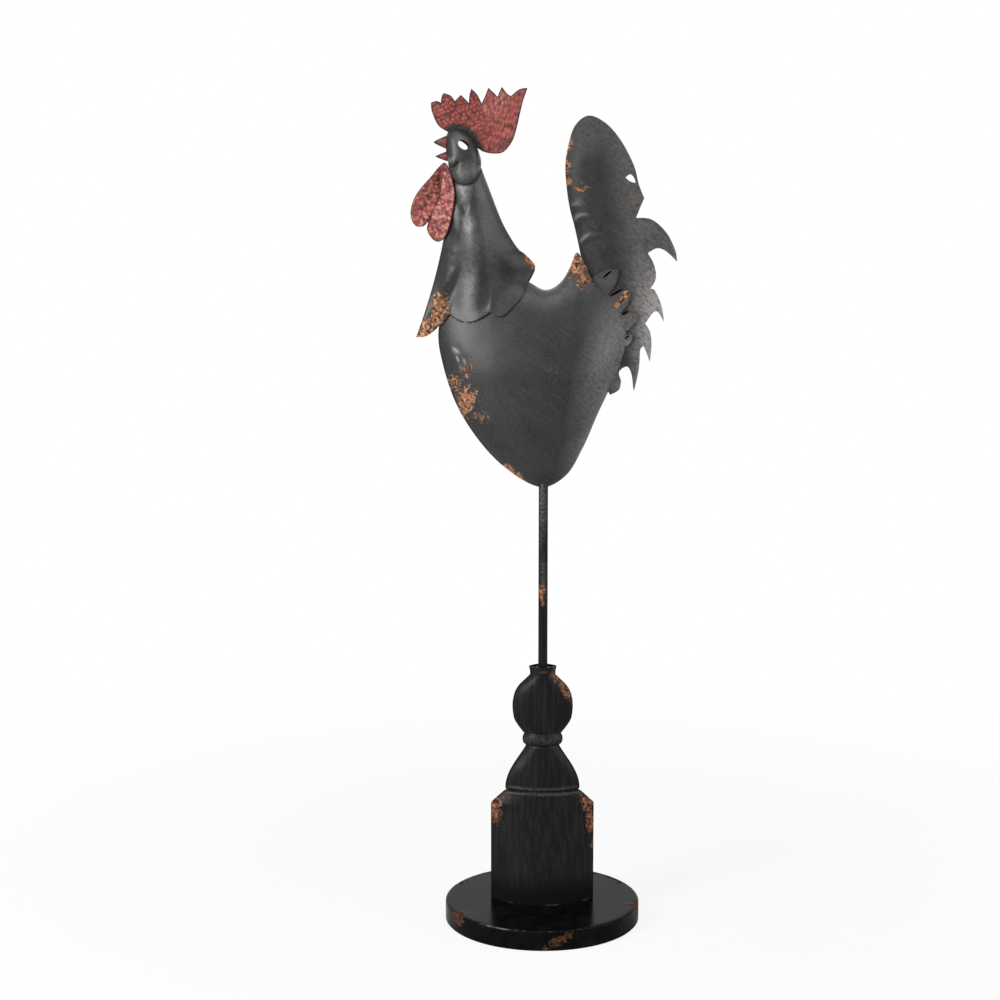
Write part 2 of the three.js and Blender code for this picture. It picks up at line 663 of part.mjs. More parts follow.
// Neck and cape: from the head's hidden collar down to the scalloped hem on the body
const neckTop = [notch[0] - NECK_TOP_LEAN, notch[1] + NECK_RISE];
const capeTip = [breast[0] - CAPE_OVERHANG, notch[1] - CAPE_DROP];
const neckDown = (z) => Math.max(0, (neckTop[1] - z) / (neckTop[1] - capeTip[1]));
const neckFrontTop = neckTop[0] - NECK_TOP_LENGTH / 2;
const neckFront = (z) => mix(neckFrontTop, capeTip[0], Math.pow(neckDown(z), NECK_FRONT_SWEEP));
const NECK_BACK = [[0, 0], [0.2, 0.228], [0.456, 0.506], [0.736, 0.71], [0.917, 0.778]];
const neckBackTop = neckTop[0] + NECK_TOP_LENGTH / 2;
const neckBackPoints = NECK_BACK.map(([fx, fz]) => [
  mix(neckBackTop, notch[0], fx),
  neckTop[1] - fz * NECK_RISE,
]);
neckBackPoints.push([notch[0] + NECK_BACK_BULGE, neckTop[1] - 0.88 * NECK_RISE], notch);
const neckBackCurve = smoothCurve(neckBackPoints.reverse(), 36);
const neckBack = (z) => curveAt(neckBackCurve, z);

// Section from the front seam (u 0) to the back seam (u 1): round at the top, roof-like over the cape
const ROOF_SHARE = 0.45;
function neckSection(u, z) {
  const spread = ramp(neckDown(z) / ROOF_SHARE);
  const fall = Math.pow(Math.abs(1 - 2 * u), mix(ROUND_POWER, RIDGE_POWER, spread));
  return Math.pow(Math.max(0, 1 - fall), mix(NECK_FULLNESS, CAPE_FULLNESS, spread));
}
const neckHalfDepth = (z) => {
  const deepened = Math.pow(neckDown(z), NECK_DEPTH_SWEEP);
  return mix(NECK_TOP_HALF_DEPTH, NECK_BASE_HALF_DEPTH, deepened);
};
function neckDepthAt(x, z) {
  if (z > neckTop[1]) return 0;
  const u = (x - neckFront(z)) / (neckBack(z) - neckFront(z));
  return neckHalfDepth(z) * neckSection(Math.min(1, Math.max(0, u)), z);
}

// Hem: lobes between cusps. u runs from the front seam to the back seam, the fall of each cusp and of the
// lobe after it below the straight line are shares of the cape's drop.
const HEM = [
  { u: 0, fall: [1, 0.15], cells: 5 },
  { u: 0.24, fall: [0.563, 0.15], cells: 6 },
  { u: 0.62, fall: [0.505, 0.12], cells: 4 },
  { u: 0.84, fall: [0.4, 0.035], cells: 5 },
  { u: 1, fall: [0, 0], cells: 0 },
];
function hemHeight(u) {
  const k = Math.max(1, HEM.findIndex((cusp) => cusp.u >= u));
  const [a, b] = [HEM[k - 1], HEM[k]];
  const t = (u - a.u) / (b.u - a.u);
  return notch[1] - CAPE_DROP * (mix(a.fall[0], b.fall[0], t) + a.fall[1] * Math.sin(Math.PI * t));
}
const EDGE_EASE_POWER = 1.5;
const hemColumns = [0];
HEM.slice(0, -1).forEach((cusp, k) => {
  for (const t of steps(0, 1, cusp.cells).slice(1)) {
    let place = t;
    if (k === 0) place = Math.pow(t, EDGE_EASE_POWER);
    if (k === HEM.length - 2) place = 1 - Math.pow(1 - t, EDGE_EASE_POWER);
    hemColumns.push(mix(cusp.u, HEM[k + 1].u, place));
  }
});
const CAPE_START_SHARE = 0.5;
const CAPE_EDGE_SHARE = 0.06;
for (const side of [-1, 1]) {
  const point = (u, v, offset) => {
    const z = mix(neckTop[1], hemHeight(u), v);
    const x = mix(neckFront(z) + offset, neckBack(z) - offset, u);
    const neck = Math.max(0, neckHalfDepth(z) - offset) * neckSection(u, z);
    const edge = Math.min(1, u / CAPE_EDGE_SHARE, (1 - u) / CAPE_EDGE_SHARE);
    const lap = (LAP_GAP + SHEET - offset) * edge * ramp(v / CAPE_START_SHARE);
    const over = bodyForm.depthAt(x, z) + lap;
    const y = mix(softMax(neck, over), over, ramp((v - CAPE_START_SHARE) / (1 - CAPE_START_SHARE)));
    return [x, side * y, z];
  };
  const sheet = sheetPatch(hemColumns, steps(0, 1, 11), SHEET, point);
  add(side < 0 ? 'hackle_left' : 'hackle_right', sheet, BLACK);
}

// Room that the neck takes up inside the head
const neckRoom = loft(steps(capeTip[1], neckTop[1] + SEAM_GAP, 24).map((z) => {
  const low = Math.min(z, neckTop[1]);
  const columns = steps(0, Math.PI, 10).map((angle) => (1 - Math.cos(angle)) / 2);
  const half = columns.map((u) => [
    mix(neckFront(low) - SEAM_GAP, neckBack(low) + SEAM_GAP, u),
    (neckHalfDepth(low) + SEAM_GAP) * neckSection(u, low),
    z,
  ]);
  return [...half, ...half.slice(1, -1).reverse().map(([x, y]) => [x, -y, z])];
}));

// Head: places in shares of its length and height from the neck's top
const onHead = ([fx, fz]) => [neckTop[0] + fx * HEAD_LENGTH, neckTop[1] + fz * HEAD_HEIGHT];
const HEAD_OUTLINE = [
  [-0.479, 0.565], [-0.534, 0.263], [-0.482, 0.034], [-0.44, -0.13], [-0.36, -0.255],
  [-0.184, -0.343], [0.036, -0.368], [0.246, -0.31], [0.41, -0.139], [0.456, 0.032],
  [0.361, 0.225], [0.23, 0.418], [0, 0.589], [-0.262, 0.632],
];
const headOutline = closedOutline(HEAD_OUTLINE.map(onHead), 2);
const headForm = dishForm({
  outline: headOutline,
  centre: onHead([-0.03, 0.1]),
  halfDepth: HEAD_HALF_DEPTH,
  fullness: () => HEAD_FULLNESS,
  rim: (x, z) => {
    const neck = neckDepthAt(x, z);
    return neck > 0 ? neck + LAP_GAP : 0;
  },
});

// Comb: shares of its length and height from a seat in the head's top seam
const combSeat = onHead([0, 0.183]);
const onComb = ([fx, fz]) => [combSeat[0] + fx * COMB_LENGTH, combSeat[1] + fz * COMB_HEIGHT];
const COMB_OUTLINE = [
  [[-0.183, 0.325], [-0.286, 0.431], [-0.348, 0.64]],
  [[-0.355, 0.765], [-0.3, 0.79]],
  [[-0.254, 0.76], [-0.244, 0.86]],
  [[-0.222, 0.91], [-0.15, 0.87]],
  [[-0.109, 0.79]],
  [[-0.046, 0.88], [0, 0.815]],
  [[0.038, 0.753], [0.045, 0.88]],
  [[0.064, 0.97], [0.12, 0.89]],
  [[0.17, 0.748], [0.205, 0.86]],
  [[0.24, 0.985], [0.285, 0.925]],
  [[0.335, 0.85], [0.355, 0.92]],
  [[0.38, 1], [0.435, 0.9]],
  [[0.474, 0.865], [0.56, 0.965]],
  [[0.645, 0.985], [0.6, 0.8], [0.57, 0.62], [0.54, 0.42], [0.49, 0.19], [0.4, 0.03], [0.3, 0],
    [0.17, 0.04], [0.05, 0.18], [-0.08, 0.27]],
];
const combOutline = corneredOutline(COMB_OUTLINE.map((run) => run.map(onComb)), 2);
const combWave = (x, z) => {
  const free = ramp((z - onHead([0, 0.64])[1]) / (0.5 * COMB_HEIGHT));
  return COMB_RUFFLE * free * Math.sin(((x - combSeat[0]) / COMB_LENGTH) * 3 * Math.PI);
};
const comb = trimmed({
  outline: combOutline,
  low: (x, z) => combWave(x, z) - COMB_SHEET / 2,
  high: (x, z) => combWave(x, z) + COMB_SHEET / 2,
  cells: [9, 4],
});
add('comb', geometryOf(comb), RED);
const combRoom = COMB_SHEET / 2 + SEAM_GAP;
const combSlot = prism(grown(combOutline, SEAM_GAP), -combRoom, combRoom);

// Beaks: pointed lens-shaped horns in front of the head, each with a flat tongue in the front seam
const headBlock = prism(grown(headOutline, SEAM_GAP), -HEAD_HALF_DEPTH, HEAD_HALF_DEPTH);
const slots = [];
function beak(name, root, length, height) {
  const [x0, z0] = onHead(root);
  const rings = steps(-0.4, 0.97, 7).map((f) => {
    const taper = Math.pow(1 - Math.max(0, f), 0.8);
    return steps(0, 2 * Math.PI, 12).slice(1).map((angle) => [
      x0 - f * length,
      BEAK_HALF_DEPTH * taper * Math.sin(angle),
      z0 + (height / 2) * taper * Math.cos(angle) * Math.abs(Math.cos(angle)),
    ]);
  });
  const tongueOf = (gap) => {
    const half = height / 4 + gap;
    const corners = [[x0 - 0.25 * length - gap, z0 - half], [x0 + TONGUE + gap, z0 - half]];
    corners.push([x0 + TONGUE + gap, z0 + half], [x0 - 0.25 * length - gap, z0 + half]);
    return prism(corners, -COMB_SHEET / 2 - gap, COMB_SHEET / 2 + gap);
  };
  slots.push(tongueOf(SEAM_GAP));
  add(name, geometryOf(loft(rings).subtract(headBlock).add(tongueOf(0))), RED);
}
beak('beak_upper', [-0.515, 0.385], UPPER_BEAK_LENGTH, UPPER_BEAK_HEIGHT);
beak('beak_lower', [-0.515, 0.135], LOWER_BEAK_LENGTH, LOWER_BEAK_HEIGHT);

// Wattles: shares of their length from the chin; they spread from the seam round the front of the neck
const chin = onHead([-0.564, 0.021]);
const onWattle = ([fx, fz]) => [chin[0] + fx * WATTLE_LENGTH, chin[1] + fz * WATTLE_LENGTH];
const WATTLES = {
  wattle_left: {
    side: -1,
    spread: [-0.15, 0.12],
    outline: [[0, 0], [0.055, -0.085], [0.095, -0.2], [0.125, -0.37], [0.1, -0.597],
      [0.047, -0.826], [-0.017, -0.953], [-0.094, -0.997], [-0.17, -0.953], [-0.226, -0.852],
      [-0.21, -0.73], [-0.155, -0.597], [-0.077, -0.42], [-0.035, -0.16]],
  },
  wattle_right: {
    side: 1,
    spread: [-0.4, 0.05],
    outline: [[0, 0], [-0.076, -0.055], [-0.19, -0.192], [-0.306, -0.32], [-0.395, -0.458],
      [-0.435, -0.623], [-0.42, -0.736], [-0.359, -0.806], [-0.283, -0.8], [-0.225, -0.75],
      [-0.11, -0.568], [-0.01, -0.341], [0.025, -0.159]],
  },
};
const TONGUE_SHARE = [[-0.02, -0.045], [0.07, -0.04], [0.07, 0.01], [-0.004, 0.002]];
for (const [name, { side, spread, outline }] of Object.entries(WATTLES)) {
  const face = (x, z) => {
    const across = (x - onWattle([spread[0], 0])[0]) / ((spread[1] - spread[0]) * WATTLE_LENGTH);
    const down = ramp((chin[1] - z) / (0.25 * WATTLE_LENGTH));
    const clear = neckDepthAt(x, z);
    const spreading = WATTLE_SPREAD * Math.pow(Math.max(0, across), WATTLE_SWEEP) * down;
    return Math.max(spreading, clear > 0 ? clear + LAP_GAP : 0);
  };
  const edge = corneredOutline([outline.map(onWattle)], 2);
  const lobe = pressed({ outline: edge, side, thickness: SHEET, face, cells: [8, 10] });
  const tongue = TONGUE_SHARE.map(onWattle);
  const plate = side < 0 ? prism(tongue, -SHEET, 0) : prism(tongue, 0, SHEET);
  add(name, geometryOf(lobe.add(plate)), RED);
}
slots.push(prism(grown(TONGUE_SHARE.map(onWattle), SEAM_GAP), -SHEET - SEAM_GAP, SHEET + SEAM_GAP));

// Head halves: the cheek rests on the neck, the seam is slotted for the comb, beaks and wattles
const eyeCentre = onHead([-0.05, 0.355]);
const eyeTilt = THREE.MathUtils.degToRad(-35);
const eyeOutline = steps(0, 2 * Math.PI, 14).slice(1).map((angle) => {
  const a = (EYE_LENGTH / 2) * Math.cos(angle);
  const b = (EYE_HEIGHT / 2) * Math.sin(angle);
  return [
    eyeCentre[0] + a * Math.cos(eyeTilt) - b * Math.sin(eyeTilt),
    eyeCentre[1] + a * Math.sin(eyeTilt) + b * Math.cos(eyeTilt),
  ];
});
const eyeHole = prism(eyeOutline, -2 * HEAD_HALF_DEPTH, 2 * HEAD_HALF_DEPTH);
for (const side of [-1, 1]) {
  let half = headForm.shell(side, SHEET, [1, 0.94, 0.84, 0.68, 0.46]);
  half = half.subtract(neckRoom).subtract(combSlot).subtract(eyeHole);
  for (const slot of slots) half = half.subtract(slot);
  add(side < 0 ? 'head_left' : 'head_right', geometryOf(half), BLACK);
}

export default statue;
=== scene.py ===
"""Looks of a worn sheet-steel rooster on its painted stand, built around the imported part.

Sizes are millimetres in the part's frame: +Z is up, the beak points to -X, the bird's left side faces -Y
and the halves of the bird meet in the plane y = 0. Settings, lamps, camera and finished meshes are in metres.
"""

import math

import bpy
import numpy as np
from bpy.props import FloatProperty, FloatVectorProperty, PointerProperty
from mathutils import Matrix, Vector, noise
from mathutils.geometry import delaunay_2d_cdt


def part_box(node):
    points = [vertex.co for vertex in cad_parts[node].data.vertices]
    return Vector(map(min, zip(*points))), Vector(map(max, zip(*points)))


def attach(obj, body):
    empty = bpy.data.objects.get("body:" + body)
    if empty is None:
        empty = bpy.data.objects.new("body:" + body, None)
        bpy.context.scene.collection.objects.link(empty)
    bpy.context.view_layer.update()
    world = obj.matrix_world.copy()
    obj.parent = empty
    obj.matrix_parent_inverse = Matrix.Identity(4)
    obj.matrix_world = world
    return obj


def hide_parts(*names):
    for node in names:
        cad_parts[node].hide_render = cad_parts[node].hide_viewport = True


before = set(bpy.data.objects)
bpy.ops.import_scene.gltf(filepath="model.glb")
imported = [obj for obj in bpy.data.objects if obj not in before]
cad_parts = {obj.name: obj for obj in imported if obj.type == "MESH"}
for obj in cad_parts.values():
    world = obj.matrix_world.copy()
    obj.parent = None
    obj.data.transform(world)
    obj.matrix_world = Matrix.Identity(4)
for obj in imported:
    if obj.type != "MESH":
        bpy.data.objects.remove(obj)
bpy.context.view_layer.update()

bl_info = {
    "name": "Worn Steel Rooster",
    "version": (1, 0, 0),
    "blender": (4, 5, 0),
    "location": "3D Viewport > Sidebar > Rooster",
    "description": "Hammered and painted steel rooster on a turned-look stand, shaped around the packed part",
    "category": "Object",
}

MM = 0.001


def box_mm(node):
    """Lowest and highest corner of a solid in millimetres"""
    low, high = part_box(node)
    return np.array(low) / MM, np.array(high) / MM


# Stand, measured on the solids of the frame
_, (BASE_RADIUS, _, BASE_TOP) = box_mm("base_disc")
_, (BLOCK_HALF_WIDTH, _, FINIAL_TOP) = box_mm("finial_front")
ROD_LOW, ROD_HIGH = box_mm("support_rod")
ROD_RADIUS = ROD_HIGH[0]

# Stand, as in the part's source, apart from the collar's flare, which is 0.3 mm wider
BASE_EDGE_ROUND = 2.0
COUNTERBORE_RADIUS = 16.0
COUNTERBORE_DEPTH = 11.0
BORE_GAP = 0.3
BLOCK_HEIGHT = 88.0
SHOULDER_HEIGHT = 11.5
BELL_HALF_WIDTH = 32.5
BELL_HEIGHT = 40.5
WAIST_HALF_WIDTH = 14.5
BEAD_HALF_WIDTH = 17.5
BEAD_HEIGHT = 11.5
BALL_HALF_WIDTH = 26.2
BALL_HEIGHT = 52.0
COLLAR_HALF_WIDTH = 11.0
COLLAR_FLARE = 1.0
GROOVE = 0.8
BLOCK_FOOT_HALF_DEPTH = 21.0
BLOCK_TOP_HALF_DEPTH = 10.5
THROAT_HALF_DEPTH = 8.0
FINIAL_FULLNESS = 0.85
CAP_RECESS = 3.0
CAP_THICKNESS = 2.0
WELD_RADIUS = 8.0
WELD_HEIGHT = 4.0
WELD_FLATNESS = 0.75

# Bird, as in the part's source, apart from the fullness of the body's rear, and with a lift of the cheek
SHEET = 1.0
COMB_SHEET = 1.2
SEAM_GAP = 0.3
LAP_GAP = 0.5
BODY_BOTTOM = FINIAL_TOP + 157.5
BODY_LENGTH = 157.0
BODY_HEIGHT = 200.0
BODY_HALF_DEPTH = 34.0
BODY_FULLNESS = 0.75
REAR_FULLNESS = 1.2
NECK_RISE = 97.8
NECK_TOP_LENGTH = 24.0
NECK_TOP_LEAN = 54.0
NECK_TOP_HALF_DEPTH = 11.5
NECK_BASE_HALF_DEPTH = 27.0
NECK_BACK_BULGE = 4.5
NECK_FULLNESS = 0.6
CAPE_FULLNESS = 0.8
ROUND_POWER = 2.0
RIDGE_POWER = 1.3
ROOF_SHARE = 0.45
NECK_FRONT_SWEEP = 1.8
NECK_DEPTH_SWEEP = 1.3
CAPE_DROP = 47.7
CAPE_OVERHANG = 19.0
CAPE_START_SHARE = 0.5
CAPE_EDGE_SHARE = 0.06
HEAD_LENGTH = 30.5
HEAD_HEIGHT = 46.5
HEAD_HALF_DEPTH = 14.5
HEAD_FULLNESS = 0.5
EYE_LENGTH = 10.5
EYE_HEIGHT = 6.5
EYE_TILT = -35.0
CHEEK_LIFT = 1.3
COMB_LENGTH = 80.0
COMB_HEIGHT = 55.0
COMB_RUFFLE = 2.0
BEAK_HALF_DEPTH = 3.0
WATTLE_LENGTH = 66.0
WATTLE_SPREAD = 9.0
WATTLE_SWEEP = 1.6
TAIL_REACH = 84.0
TAIL_RISE = 117.0
TAIL_CROWN = 5.0
TAIL_CROWN_SHARE = 0.34
TAIL_FULLNESS = 1.5
LEAF_LENGTH = 19.0
LEAF_WIDTH = 17.0
LEAF_LIFT = 3.0
SLOT_WIDTH = 2.0


# Small maths

def linear(hex_colour):
    """sRGB hex to linear RGBA"""
    channels = [int(hex_colour[i:i + 2], 16) / 255 for i in (1, 3, 5)]
    return (*[c / 12.92 if c <= 0.04045 else ((c + 0.055) / 1.055) ** 2.4 for c in channels], 1.0)


def mix(a, b, t):
    return a + (b - a) * t


def ramp(t):
    t = np.clip(t, 0.0, 1.0)
    return t * t * (3 - 2 * t)


def soft_max(a, b):
    """The greater of two lengths, rounded where they are alike"""
    return (a ** 4 + b ** 4) ** 0.25


def bell(distance, reach):
    """1 at no distance, fading smoothly to about a third at the reach"""
    return np.exp(-(distance / reach) ** 2)


def grain(points, size, seed=0.0, octaves=3):
    """Smooth noise from about -1 to 1 at each point, with features of the given size in millimetres"""
    shift = Vector((seed * 17.3, seed * 5.1, seed * 9.7))
    return np.array([
        noise.fractal(Vector(p) / size + shift, 1.0, 2.0, octaves, noise_basis="PERLIN_ORIGINAL")
        for p in points
    ])


def hermite(start, end, leave, arrive, count):
    """Steps along a curve between two points with given directions, without its end"""
    t = np.arange(count)[:, None] / count
    return (
        (2 * t ** 3 - 3 * t ** 2 + 1) * start + (t ** 3 - 2 * t ** 2 + t) * leave
        + (3 * t ** 2 - 2 * t ** 3) * end + (t ** 3 - t ** 2) * arrive
    )


def closed_outline(points, count):
    """Smooth closed curve through points, with count steps between two of them"""
    points = np.asarray(points, float)
    pieces = []
    for i in range(len(points)):
        a, b, c, d = (points[(i + k) % len(points)] for k in (-1, 0, 1, 2))
        ab, bc, cd = (math.sqrt(np.linalg.norm(q - p)) for p, q in ((a, b), (b, c), (c, d)))
        leave = ((b - a) / ab - (c - a) / (ab + bc) + (c - b) / bc) * bc
        arrive = ((c - b) / bc - (d - b) / (bc + cd) + (d - c) / cd) * bc
        pieces.append(hermite(b, c, leave, arrive, count))
    return np.vstack(pieces)


def open_curve(points, count):
    """Smooth curve from the first point to the last, with count steps between two of them"""
    points = np.asarray(points, float)
    ends = np.vstack([points[:1], points, points[-1:]])
    pieces = [
        hermite(ends[i + 1], ends[i + 2], (ends[i + 2] - ends[i]) / 2, (ends[i + 3] - ends[i + 1]) / 2, count)
        for i in range(len(points) - 1)
    ]
    return np.vstack([*pieces, points[-1:]])


def cornered_outline(runs, count):
    """Closed outline of smooth runs that meet in corners"""
    return np.vstack([
        open_curve([*run, runs[(k + 1) % len(runs)][0]], count)[:-1] for k, run in enumerate(runs)
    ])


def away_from(flat, place):
    """Distance of points in the x-z plane from a place"""
    return np.linalg.norm(flat - place, axis=1)


def inside(points, outline):
    """Which points lie inside a closed outline"""
    x, z = points[:, 0, None], points[:, 1, None]
    x1, z1 = outline[:, 0], outline[:, 1]
    x2, z2 = np.roll(x1, -1), np.roll(z1, -1)
    rise = np.where(z2 == z1, 1e-12, z2 - z1)
    crossed = ((z1 > z) != (z2 > z)) & (x < (x2 - x1) * (z - z1) / rise + x1)
    return crossed.sum(1) % 2 == 1


def distance_to(points, line, closed=True):
    """Distance from each point to a line of points"""
    starts = line if closed else line[:-1]
    ends = np.roll(line, -1, 0) if closed else line[1:]
    span = ends - starts
    length = np.maximum((span ** 2).sum(1), 1e-12)
    best = np.full(len(points), np.inf)
    for start, step, squared in zip(starts, span, length):
        t = np.clip(((points - start) @ step) / squared, 0, 1)
        best = np.minimum(best, np.linalg.norm(points - start - t[:, None] * step, axis=1))
    return best


def draped(heights, floor, times):
    """Grid of heights evened out like a sheet that rests on a floor, held along its border"""
    held = heights.copy()
    for _ in range(times):
        even = held.copy()
        even[1:-1, 1:-1] = (held[:-2, 1:-1] + held[2:, 1:-1] + held[1:-1, :-2] + held[1:-1, 2:]) / 4
        held = np.maximum(even, floor)
    return held


# Mesh making

def object_from(name, points, faces, sharp=40.0, **attributes):
    """Mesh object from points in millimetres, with one float attribute per keyword"""
    mesh = bpy.data.meshes.new(name)
    mesh.from_pydata((np.asarray(points) * MM).tolist(), [], [tuple(int(i) for i in f) for f in faces])
    mesh.validate()
    mesh.polygons.foreach_set("use_smooth", [True] * len(mesh.polygons))
    mesh.set_sharp_from_angle(angle=math.radians(sharp))
    for key, values in attributes.items():
        layer = mesh.attributes.new(key, "FLOAT", "POINT")
        layer.data.foreach_set("value", np.asarray(values, np.float32))
    obj = bpy.data.objects.new(name, mesh)
    bpy.context.scene.collection.objects.link(obj)
    return obj


def point_normals(points, faces):
    """Unit normal at each point, from the faces around it"""
    total = np.zeros_like(points)
    for size in {len(face) for face in faces}:
        group = np.array([face for face in faces if len(face) == size])
        corners = [points[group[:, k]] for k in range(size)]
        if size == 3:
            normal = np.cross(corners[1] - corners[0], corners[2] - corners[0])
        else:
            normal = np.cross(corners[2] - corners[0], corners[3] - corners[1])
        for k in range(size):
            np.add.at(total, group[:, k], normal)
    return total / np.maximum(np.linalg.norm(total, axis=1), 1e-12)[:, None]


def facing(points, faces, side):
    """The same faces, all turned so that they look to the given side of the mid plane"""
    total = 0.0
    for face in faces:
        a, b, c = (points[face[k]] for k in range(3))
        total += np.cross(b - a, c - a)[1]
    return faces if total * side > 0 else [face[::-1] for face in faces]


def thickened(points, faces, thickness, outside=0.0):
    """Closed sheet: the given surface, moved out by outside, and a second one a thickness further in"""
    normals = point_normals(points, faces)
    outer = points + normals * outside
    inner = outer - normals * thickness
    count = len(points)
    uses = {}
    for face in faces:
        for a, b in zip(face, face[1:] + face[:1]):
            uses.setdefault((min(a, b), max(a, b)), []).append((a, b))
    walls = [(b, a, a + count, b + count) for (a, b), *rest in uses.values() if not rest]
    under = [tuple(i + count for i in face[::-1]) for face in faces]
    return np.vstack([outer, inner]), [*faces, *under, *walls]


def grid_faces(across, down, wrap=False):
    """Quads of a grid of points stored row by row"""
    columns = across if wrap else across - 1
    faces = []
    for row in range(0, (down - 1) * across, across):
        for i in range(columns):
            k = (i + 1) % across
            faces.append((row + i, row + k, row + across + k, row + across + i))
    return faces


def looped_faces(across, down):
    """Quads of a grid of points that closes on itself both ways"""
    count = across * down
    return [tuple(i % count for i in face) for face in grid_faces(across, down + 1, wrap=True)]


def joined(points, faces, more, more_faces):
    """One mesh of two"""
    start = len(points)
    return np.vstack([points, more]), [*faces, *[tuple(i + start for i in face) for face in more_faces]]


# Height of a row of a hexagonal grid, and the free margin along edges, in shares of the spacing
GRID_ROW = 0.866
GRID_MARGIN = 0.45


def hexagonal_grid(low, high, spacing):
    """Points of a hexagonal grid between two corners"""
    heights = np.arange(low[1], high[1], spacing * GRID_ROW)
    rows = [np.arange(low[0] + (k % 2) * spacing / 2, high[0], spacing) for k in range(len(heights))]
    return np.vstack([np.column_stack([x, np.full(len(x), z)]) for x, z in zip(rows, heights)])


def blank(outline, spacing, holes=(), extra=None):
    """Triangles over an outline in the x-z plane, less the holes, on a hexagonal grid or the extra points"""
    if extra is None:
        extra = hexagonal_grid(outline.min(0), outline.max(0), spacing)
    keep = inside(extra, outline) & (distance_to(extra, outline) > spacing * GRID_MARGIN)
    for hole in holes:
        keep &= ~inside(extra, hole) & (distance_to(extra, hole) > spacing * GRID_MARGIN)
    loops = [outline, *holes]
    points = np.vstack([*loops, extra[keep]])
    edges, start = [], 0
    for loop in loops:
        edges += [(start + i, start + (i + 1) % len(loop)) for i in range(len(loop))]
        start += len(loop)
    found = delaunay_2d_cdt([Vector(p) for p in points], edges, [], 0, 1e-6)
    flat = np.array([tuple(p) for p in found[0]])
    triangles = [tuple(face) for face in found[2]]
    middles = np.array([flat[list(face)].mean(0) for face in triangles])
    kept = inside(middles, outline)
    for hole in holes:
        kept &= ~inside(middles, hole)
    triangles = np.array(triangles)[kept]
    used, renumbered = np.unique(triangles, return_inverse=True)
    return flat[used], [tuple(int(i) for i in face) for face in renumbered.reshape(-1, 3)]


def lathe(profile, sides):
    """Closed surface of revolution about the Z axis from a closed profile of (radius, z)"""
    angles = np.arange(sides) / sides * 2 * math.pi
    points = np.array([(r * math.cos(a), r * math.sin(a), z) for r, z in profile for a in angles])
    return points, [face[::-1] for face in looped_faces(sides, len(profile))]


# Scatter of hammer blows about their grid and squared radius of a pebble, in spacings
BLOW_SCATTER = 0.3
BLOW_SIZE = 0.42


def pebbled(points, across, along, turn, seed):
    """Raised pebbles over a sheet: 1 on top of each, down to 0 in the valleys between them"""
    rng = np.random.default_rng(seed)
    c, s = math.cos(math.radians(turn)), math.sin(math.radians(turn))
    local = (points @ np.array([[c, -s], [s, c]])) / np.array([across, along])
    low, high = np.floor(local.min(0)).astype(int) - 1, np.ceil(local.max(0)).astype(int) + 1
    cells = np.array([
        (i + 0.5 * (j % 2), j) for i in range(low[0], high[0] + 1) for j in range(low[1], high[1] + 1)
    ])
    blows = cells + rng.uniform(-BLOW_SCATTER, BLOW_SCATTER, cells.shape)
    nearest = np.full(len(local), np.inf)
    for blow in blows:
        nearest = np.minimum(nearest, ((local - blow) ** 2).sum(1))
    return np.clip(1 - nearest / BLOW_SIZE, 0, 1)


def patches(points, places):
    """Strength of soft oval patches: places are (x, z, half length, half height, turn, strength)"""
    worn = np.zeros(len(points))
    for x, z, length, height, turn, strength in places:
        c, s = math.cos(math.radians(turn)), math.sin(math.radians(turn))
        dx, dz = points[:, 0] - x, points[:, 2] - z
        across = (dx * c + dz * s) / length
        up = (dz * c - dx * s) / height
        worn = np.maximum(worn, strength * np.clip(1.25 - np.hypot(across, up), 0, 1))
    return worn


def dents(points, places):
    """Depth of soft round dents at each point: places are (x, z, radius, depth)"""
    total = np.zeros(len(points))
    for x, z, radius, depth in places:
        total += depth * bell(np.hypot(points[:, 0] - x, points[:, 2] - z), radius)
    return total


def add_piece(obj, slot, material, *nodes):
    """Gives a piece its finish and lets it stand for its solids"""
    obj.data.materials.append(material)
    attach(obj, "root")
    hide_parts(*nodes)


# Forms that the pieces share

def on_body(place):
    """Shares of the body's length and height, x from the rod and z from the belly, to millimetres"""
    return np.array([place[0] * BODY_LENGTH, BODY_BOTTOM + place[1] * BODY_HEIGHT])


# A dish is kept as this many contour lines and this many bearings from its centre
CONTOURS = 81
BEARINGS = 256
# How much sooner the finer ripples of an outline fade inwards
RIPPLE_FADING = 0.8


